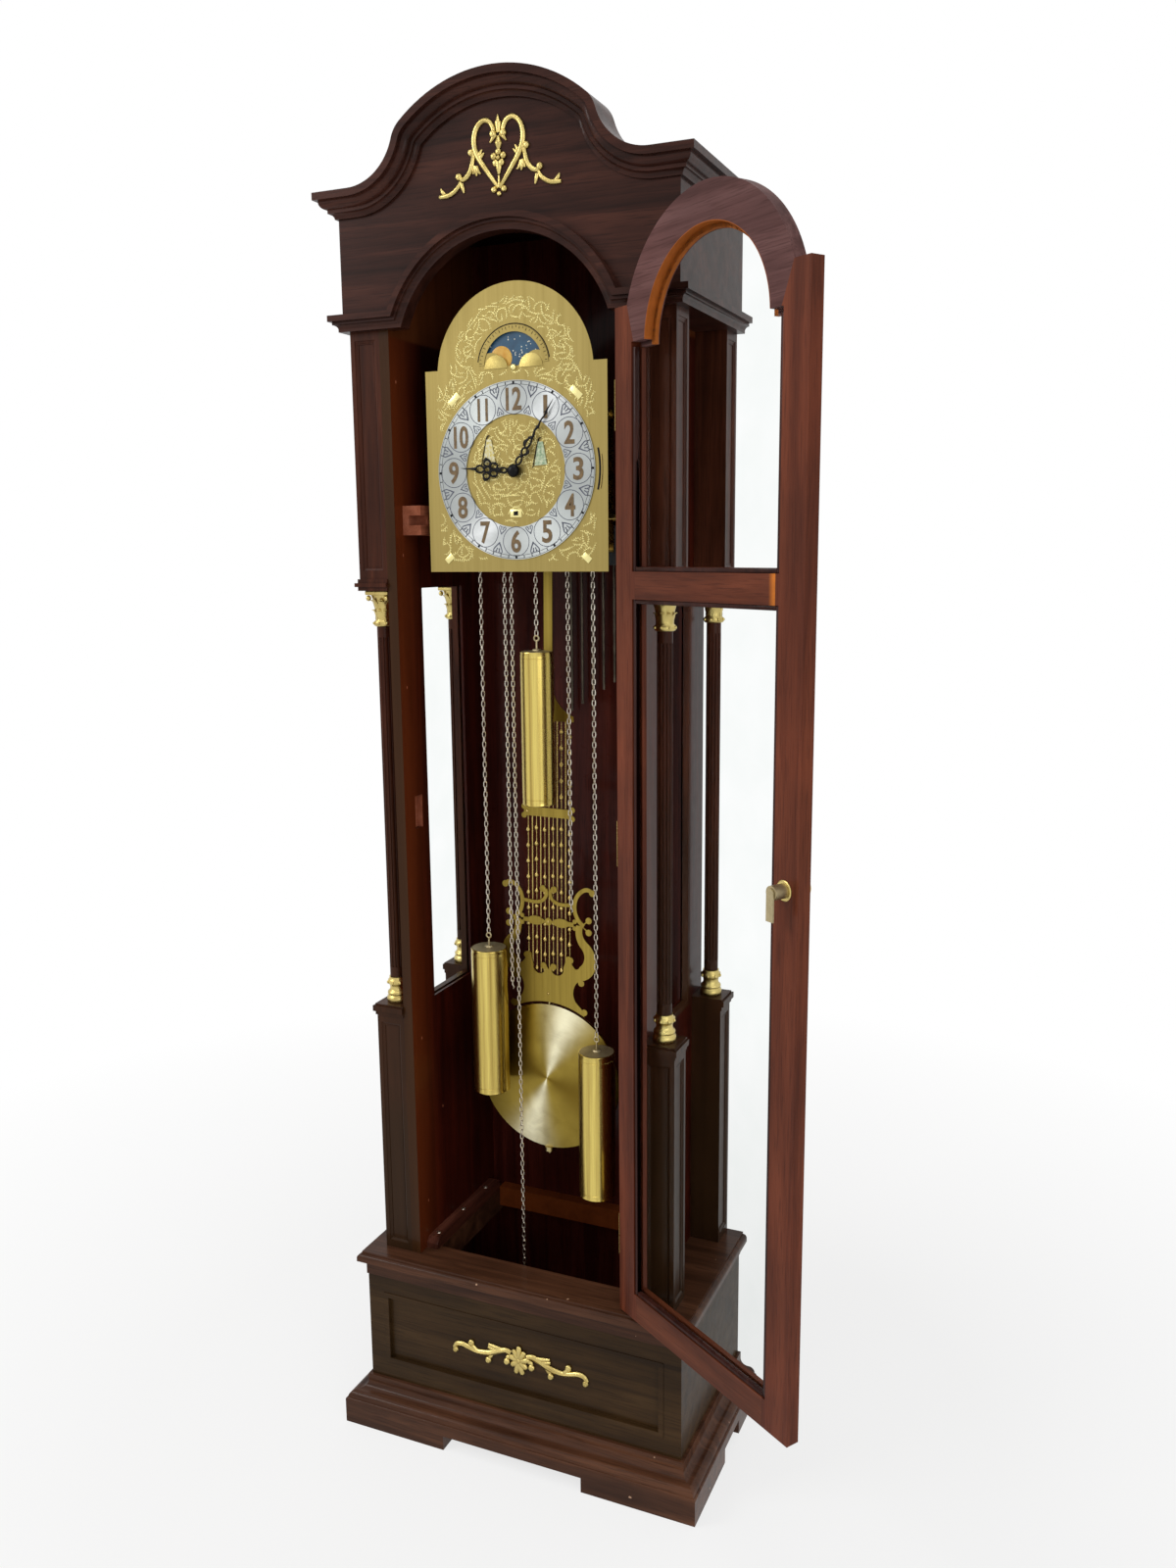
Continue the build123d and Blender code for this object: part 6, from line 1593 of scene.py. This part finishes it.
@dataclass
class Drive:
    """Movement, chains and weights."""

    y: float = -20.0
    sprocket_z: float = 1450.0
    sprocket_r: float = 20.0
    pitch: float = 7.7
    wire: float = 0.72
    link_half: float = 2.45
    hook: float = 23.0
    hook_wire: float = 1.4
    eye_r: float = 3.8
    weight_x: dict[str, float] = field(default_factory=lambda: {"left": -91.0, "centre": 0.0, "right": 91.0})
    shells: dict[str, tuple[float, float, float]] = field(
        default_factory=lambda: {
            "left": (28.5, 558.0, 793.0), "centre": (25.0, 1028.0, 1257.0), "right": (28.5, 413.0, 648.0),
        }
    )
    free_x: dict[str, float] = field(default_factory=lambda: {"left": -51.0, "centre": -40.0, "right": 51.0})
    free_end: dict[str, float] = field(
        default_factory=lambda: {"left": 742.0, "centre": 250.0, "right": 876.0}
    )

    def build(self) -> None:
        """Build and dress the movement, chains and weights."""
        dress_nodes({
            Shop.ROD: ("movement_frame", "seat_rods", "sprocket_left", "sprocket_centre", "sprocket_right"),
            Shop.DARK_STEEL: ("chime_rods",),
            Shop.IRON: ("chime_block",),
        })
        link = self.link()
        for place in ("left", "centre", "right"):
            self.weight_trim(place)
            for run, kind, x, foot in (
                ("loaded", "weight", self.weight_x[place], self.shells[place][2] + self.hook),
                ("free", "free", self.free_x[place], self.free_end[place]),
            ):
                self.strand(link, f"chain_{run}_{place}", x, foot, f"{kind}_{place}", f"{kind}_chain_{place}")
        self.wraps(link)
        bpy.data.meshes.remove(link)

    def link(self) -> bpy.types.Mesh:
        """One oval chain link standing upright, seen from the front."""
        solid = Solid()
        solid.ring((0, 0, 0), self.link_half, self.wire, 1.0, 12, 5)
        stretch = self.pitch / 2 + self.wire - self.link_half
        for vert in solid.bm.verts:
            if abs(vert.co.z) > 0.2:
                vert.co.z += math.copysign(stretch, vert.co.z)
        return solid.pattern("chain_link")

    def strand(self, link: bpy.types.Mesh, name: str, x: float, foot: float, body: str, node: str) -> None:
        """One hanging run of chain, from its end to its sprocket.

        Args:
            link: Link pattern.
            name: Name of the piece.
            x: Place across.
            foot: Height of its lower end.
            body: Body of its lower end.
            node: CAD node that it stands for.
        """
        solid = Solid()
        length = self.sprocket_z - foot
        count = round(length / self.pitch)
        for k in range(count):
            turn = Matrix.Rotation(math.pi / 2 * (k % 2) + 0.12, 4, "Z")
            z = foot + (k + 0.5) * length / count
            solid.stamp(link, Matrix.Translation((x, self.y, z)) @ turn)
        if body.startswith("free"):
            end = ((0, 2), (0, -5), (2.5, -9), (1, -12))
            solid.bar([(x + out, self.y, foot + up) for out, up in end], [1.3, 1.3, 1.1, 0.7], 6)
        obj = solid.finish(name, Shop.STEEL, None, "steel", 60, (node,))
        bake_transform(obj)

    def wraps(self, link: bpy.types.Mesh) -> None:
        """The stretch of each chain that lies over its sprocket.

        Args:
            link: Link pattern.
        """
        solid = Solid()
        for place, x in self.weight_x.items():
            middle = (x + self.free_x[place]) / 2
            count = round(math.pi * self.sprocket_r / self.pitch)
            for k in range(count):
                angle = math.pi * (k + 0.5) / count
                out, up = self.sprocket_r * math.cos(angle), self.sprocket_r * math.sin(angle)
                spot = (middle + out, self.y, self.sprocket_z + up)
                turn = Matrix.Rotation(-angle, 4, "Y") @ Matrix.Rotation(math.pi / 2 * (k % 2), 4, "Z")
                solid.stamp(link, Matrix.Translation(spot) @ turn)
        solid.finish("chain_wraps", Shop.STEEL, "case", "steel", 60)

    def weight_trim(self, place: str) -> None:
        """Rims, lined bands and the cap of a weight.

        Args:
            place: Which weight.
        """
        radius, low, high = self.shells[place]
        centre = (self.weight_x[place], self.y, 0.0)
        body = f"weight_{place}"
        shell = Solid()
        seam = [(radius, 8.8), (radius - 0.4, 9.1), (radius - 0.4, 9.7), (radius, 10.0)]
        rim = [(radius - 2.0, 0.0), (radius - 0.4, 0.2), (radius, 1.2), (radius - 0.4, 2.6)] + seam
        profile = [(0.0, low + 0.4), (radius - 2.6, low + 0.4)] + [(r, low + z) for r, z in rim]
        profile += [(r, high - z) for r, z in reversed(rim)] + [(radius - 2.6, high - 0.8), (0.0, high - 0.8)]
        shell.turned(profile, centre, steps=72)
        shell.finish(f"weight_shell_{place}", Shop.TUBE, body, "polished_brass", 30, (body,))
        top = Solid()
        cap = [
            (0.0, -0.8), (radius - 2.4, -0.8), (radius - 2.4, 0.2), (7.0, 1.4), (6.0, 3.2), (3.2, 3.8),
            (0.0, 3.8),
        ]
        top.turned([(r, high + z) for r, z in cap], centre, steps=48)
        top.finish(f"weight_cap_{place}", Shop.PLATED, body, "steel", 40)
        hook = Solid()
        eye = high + self.hook - self.eye_r
        stem = [(centre[0], self.y, high + 3.0), (centre[0], self.y, eye - self.eye_r)]
        hook.bar(stem, [self.hook_wire] * 2, 10)
        hook.ring((centre[0], self.y, eye), self.eye_r, self.hook_wire, 1.0, 24, 8)
        hook.finish(f"weight_hook_{place}", Shop.PLATED, body, "polished_brass", 60)


# ---------------------------------------------------------------- the pendulum


@dataclass
class Pendulum:
    """Lyre pendulum with plain and beaded rods."""

    y: float = 30.0
    rods: int = 11
    pitch: float = 7.1
    top: float = 1158.0
    foot: float = 738.0
    plain_radius: float = 1.2
    beaded_radius: float = 0.8
    bead_step: float = 25.3
    bead_radius: float = 3.7
    twist: tuple[tuple[float, float], ...] = ((0.65, 9.2), (1.0, 6.4), (0.7, 4.2), (2.6, 2.6))
    pin_y: float = 26.0
    pins: tuple[tuple[float, float], ...] = (
        (0.0, 712.0), (-35.5, 1153.0), (35.5, 1153.0), (0.0, 830.0), (-35.5, 1005.0), (35.5, 1005.0),
    )
    stud: tuple[float, float, float] = (0.0, 30.0, 1580.0)
    lean: float = math.radians(0.75)
    seed: int = 3

    def build(self) -> None:
        """Build and dress the pendulum."""
        dress_nodes({Shop.SHEET: ("pendulum_lyre", "pendulum_leader"), Shop.BOB: ("pendulum_bob",)})
        self.grid_rods()
        self.trim()

    def grid_rods(self) -> None:
        """Plain rods, with beaded rods between and outside them."""
        plain, beaded = Solid(), Solid()
        chance = random.Random(self.seed)
        thick, thin = self.plain_radius, self.beaded_radius
        rod = [(0, self.foot), (thick, self.foot), (thick, self.top), (0, self.top)]
        for k in range(self.rods):
            centre = ((k - (self.rods - 1) / 2) * self.pitch, self.y, 0)
            if k % 2:
                plain.turned(rod, centre, steps=12)
                continue
            z = self.foot + 6 + chance.uniform(0.0, self.bead_step) * 0.5
            profile = [(0.0, self.foot), (thin, self.foot)]
            while z < self.top - 8:
                profile += [(radius, z - up) for radius, up in self.twist]
                profile.append((self.bead_radius, z))
                profile += [(radius, z + up) for radius, up in reversed(self.twist)]
                z += self.bead_step
            profile += [(thin, self.top), (0.0, self.top)]
            beaded.turned(profile, centre, steps=8)
        for rods in (plain, beaded):
            rods.turn(self.stud, self.lean, "Y")
        plain.finish("plain_grid_rods", Shop.ROD, "pendulum", "brushed_brass", 50, ("pendulum_rods",))
        beaded.finish("beaded_grid_rods", Shop.ROD, "pendulum", "brushed_brass", 60)

    def trim(self) -> None:
        """Pins that hold the sheet to the rods."""
        solid = Solid()
        pin = [(0, -1.4), (1.4, -1.2), (1.9, -0.5), (1.9, 0.2), (0, 0.2)]
        for x, z in self.pins:
            solid.turned(pin, (x, self.pin_y, z), Lie.DEEP, 14)
        solid.turn(self.stud, self.lean, "Y")
        solid.finish("lyre_pins", Shop.ROD, "pendulum", "brushed_brass", 50)


# ---------------------------------------------------------------- the studio


@dataclass
class Studio:
    """Camera, lamps, world and floor."""

    lens: float = 29.406
    eye: tuple[float, float, float] = (0.824958, -1.724976, 1.402244)
    yaw: float = math.radians(23.586)
    pitch: float = math.radians(-10.32)
    roll: float = math.radians(-0.533)
    ambient: float = 0.5

    def build(self) -> None:
        """Set up everything round the clock."""
        self.camera()
        self.world()
        self.floor()
        self.lamp("key", (-2.9, -2.3, 3.1), (0.0, 0.0, 1.1), 1.6, 60.0)
        self.lamp("fill", (2.9, -2.6, 1.9), (0.0, 0.0, 1.0), 2.2, 26.0)
        self.lamp("top", (0.2, -0.9, 4.2), (0.0, 0.0, 1.0), 1.8, 26.0)
        bpy.context.scene.view_settings.view_transform = "Standard"

    def camera(self) -> None:
        """The camera."""
        data = bpy.data.cameras.new("camera")
        data.lens = self.lens
        data.sensor_fit = "AUTO"
        data.sensor_width = 36.0
        data.clip_start = 0.01
        data.clip_end = 100.0
        obj = bpy.data.objects.new("camera", data)
        bpy.context.scene.collection.objects.link(obj)
        level = math.cos(self.pitch)
        ahead = Vector((-math.sin(self.yaw) * level, math.cos(self.yaw) * level, math.sin(self.pitch)))
        right = Vector((math.cos(self.yaw), math.sin(self.yaw), 0))
        up = right.cross(ahead)
        across = right * math.cos(self.roll) + up * math.sin(self.roll)
        rise = up * math.cos(self.roll) - right * math.sin(self.roll)
        turn = Matrix((across, rise, -ahead)).transposed().to_4x4()
        obj.matrix_world = Matrix.Translation(self.eye) @ turn
        bpy.context.scene.camera = obj

    def lamp(self, name: str, place: Point, aim: Point, size: float, power: float) -> None:
        """One soft square lamp.

        Args:
            name: Its name.
            place: Where it is.
            aim: What it points at.
            size: Its width.
            power: Its power in watts.
        """
        data = bpy.data.lights.new(name, "AREA")
        data.size = size
        data.energy = power
        obj = bpy.data.objects.new(name, data)
        bpy.context.scene.collection.objects.link(obj)
        direction = Vector(aim) - Vector(place)
        obj.matrix_world = Matrix.Translation(place) @ direction.to_track_quat("-Z", "Y").to_matrix().to_4x4()

    def world(self) -> None:
        """White backdrop to the camera and to reflections, soft grey light to the rest."""
        world = bpy.data.worlds.new("studio")
        world.use_nodes = True
        bpy.context.scene.world = world
        tree = world.node_tree
        soft = tree.nodes["Background"]
        soft.inputs["Color"].default_value = (1.0, 0.99, 0.98, 1)
        soft.inputs["Strength"].default_value = self.ambient
        white = tree.nodes.new("ShaderNodeBackground")
        white.inputs["Color"].default_value = (1, 1, 1, 1)
        white.inputs["Strength"].default_value = 1.0
        blend = tree.nodes.new("ShaderNodeMixShader")
        tree.links.new(seen_rays(tree), blend.inputs[0])
        tree.links.new(soft.outputs[0], blend.inputs[1])
        tree.links.new(white.outputs[0], blend.inputs[2])
        tree.links.new(blend.outputs[0], tree.nodes["World Output"].inputs[0])

    def floor(self) -> None:
        """Pale floor."""
        floor_bm = bmesh.new()
        bmesh.ops.create_grid(floor_bm, x_segments=1, y_segments=1, size=20.0)
        mesh = bpy.data.meshes.new("floor")
        floor_bm.to_mesh(mesh)
        floor_bm.free()
        obj = bpy.data.objects.new("floor", mesh)
        bpy.context.scene.collection.objects.link(obj)
        Shop.FLOOR.dress(obj)


def main() -> None:
    """Build the clock and its studio."""
    logging.basicConfig(level=logging.INFO, format="%(name)s %(message)s")
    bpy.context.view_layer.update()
    Studio().build()
    for part in (Case(), Door(), Dial(), Drive(), Pendulum()):
        LOG.info("building %s", type(part).__name__)
        part.build()


if __name__ == "__main__":
    main()
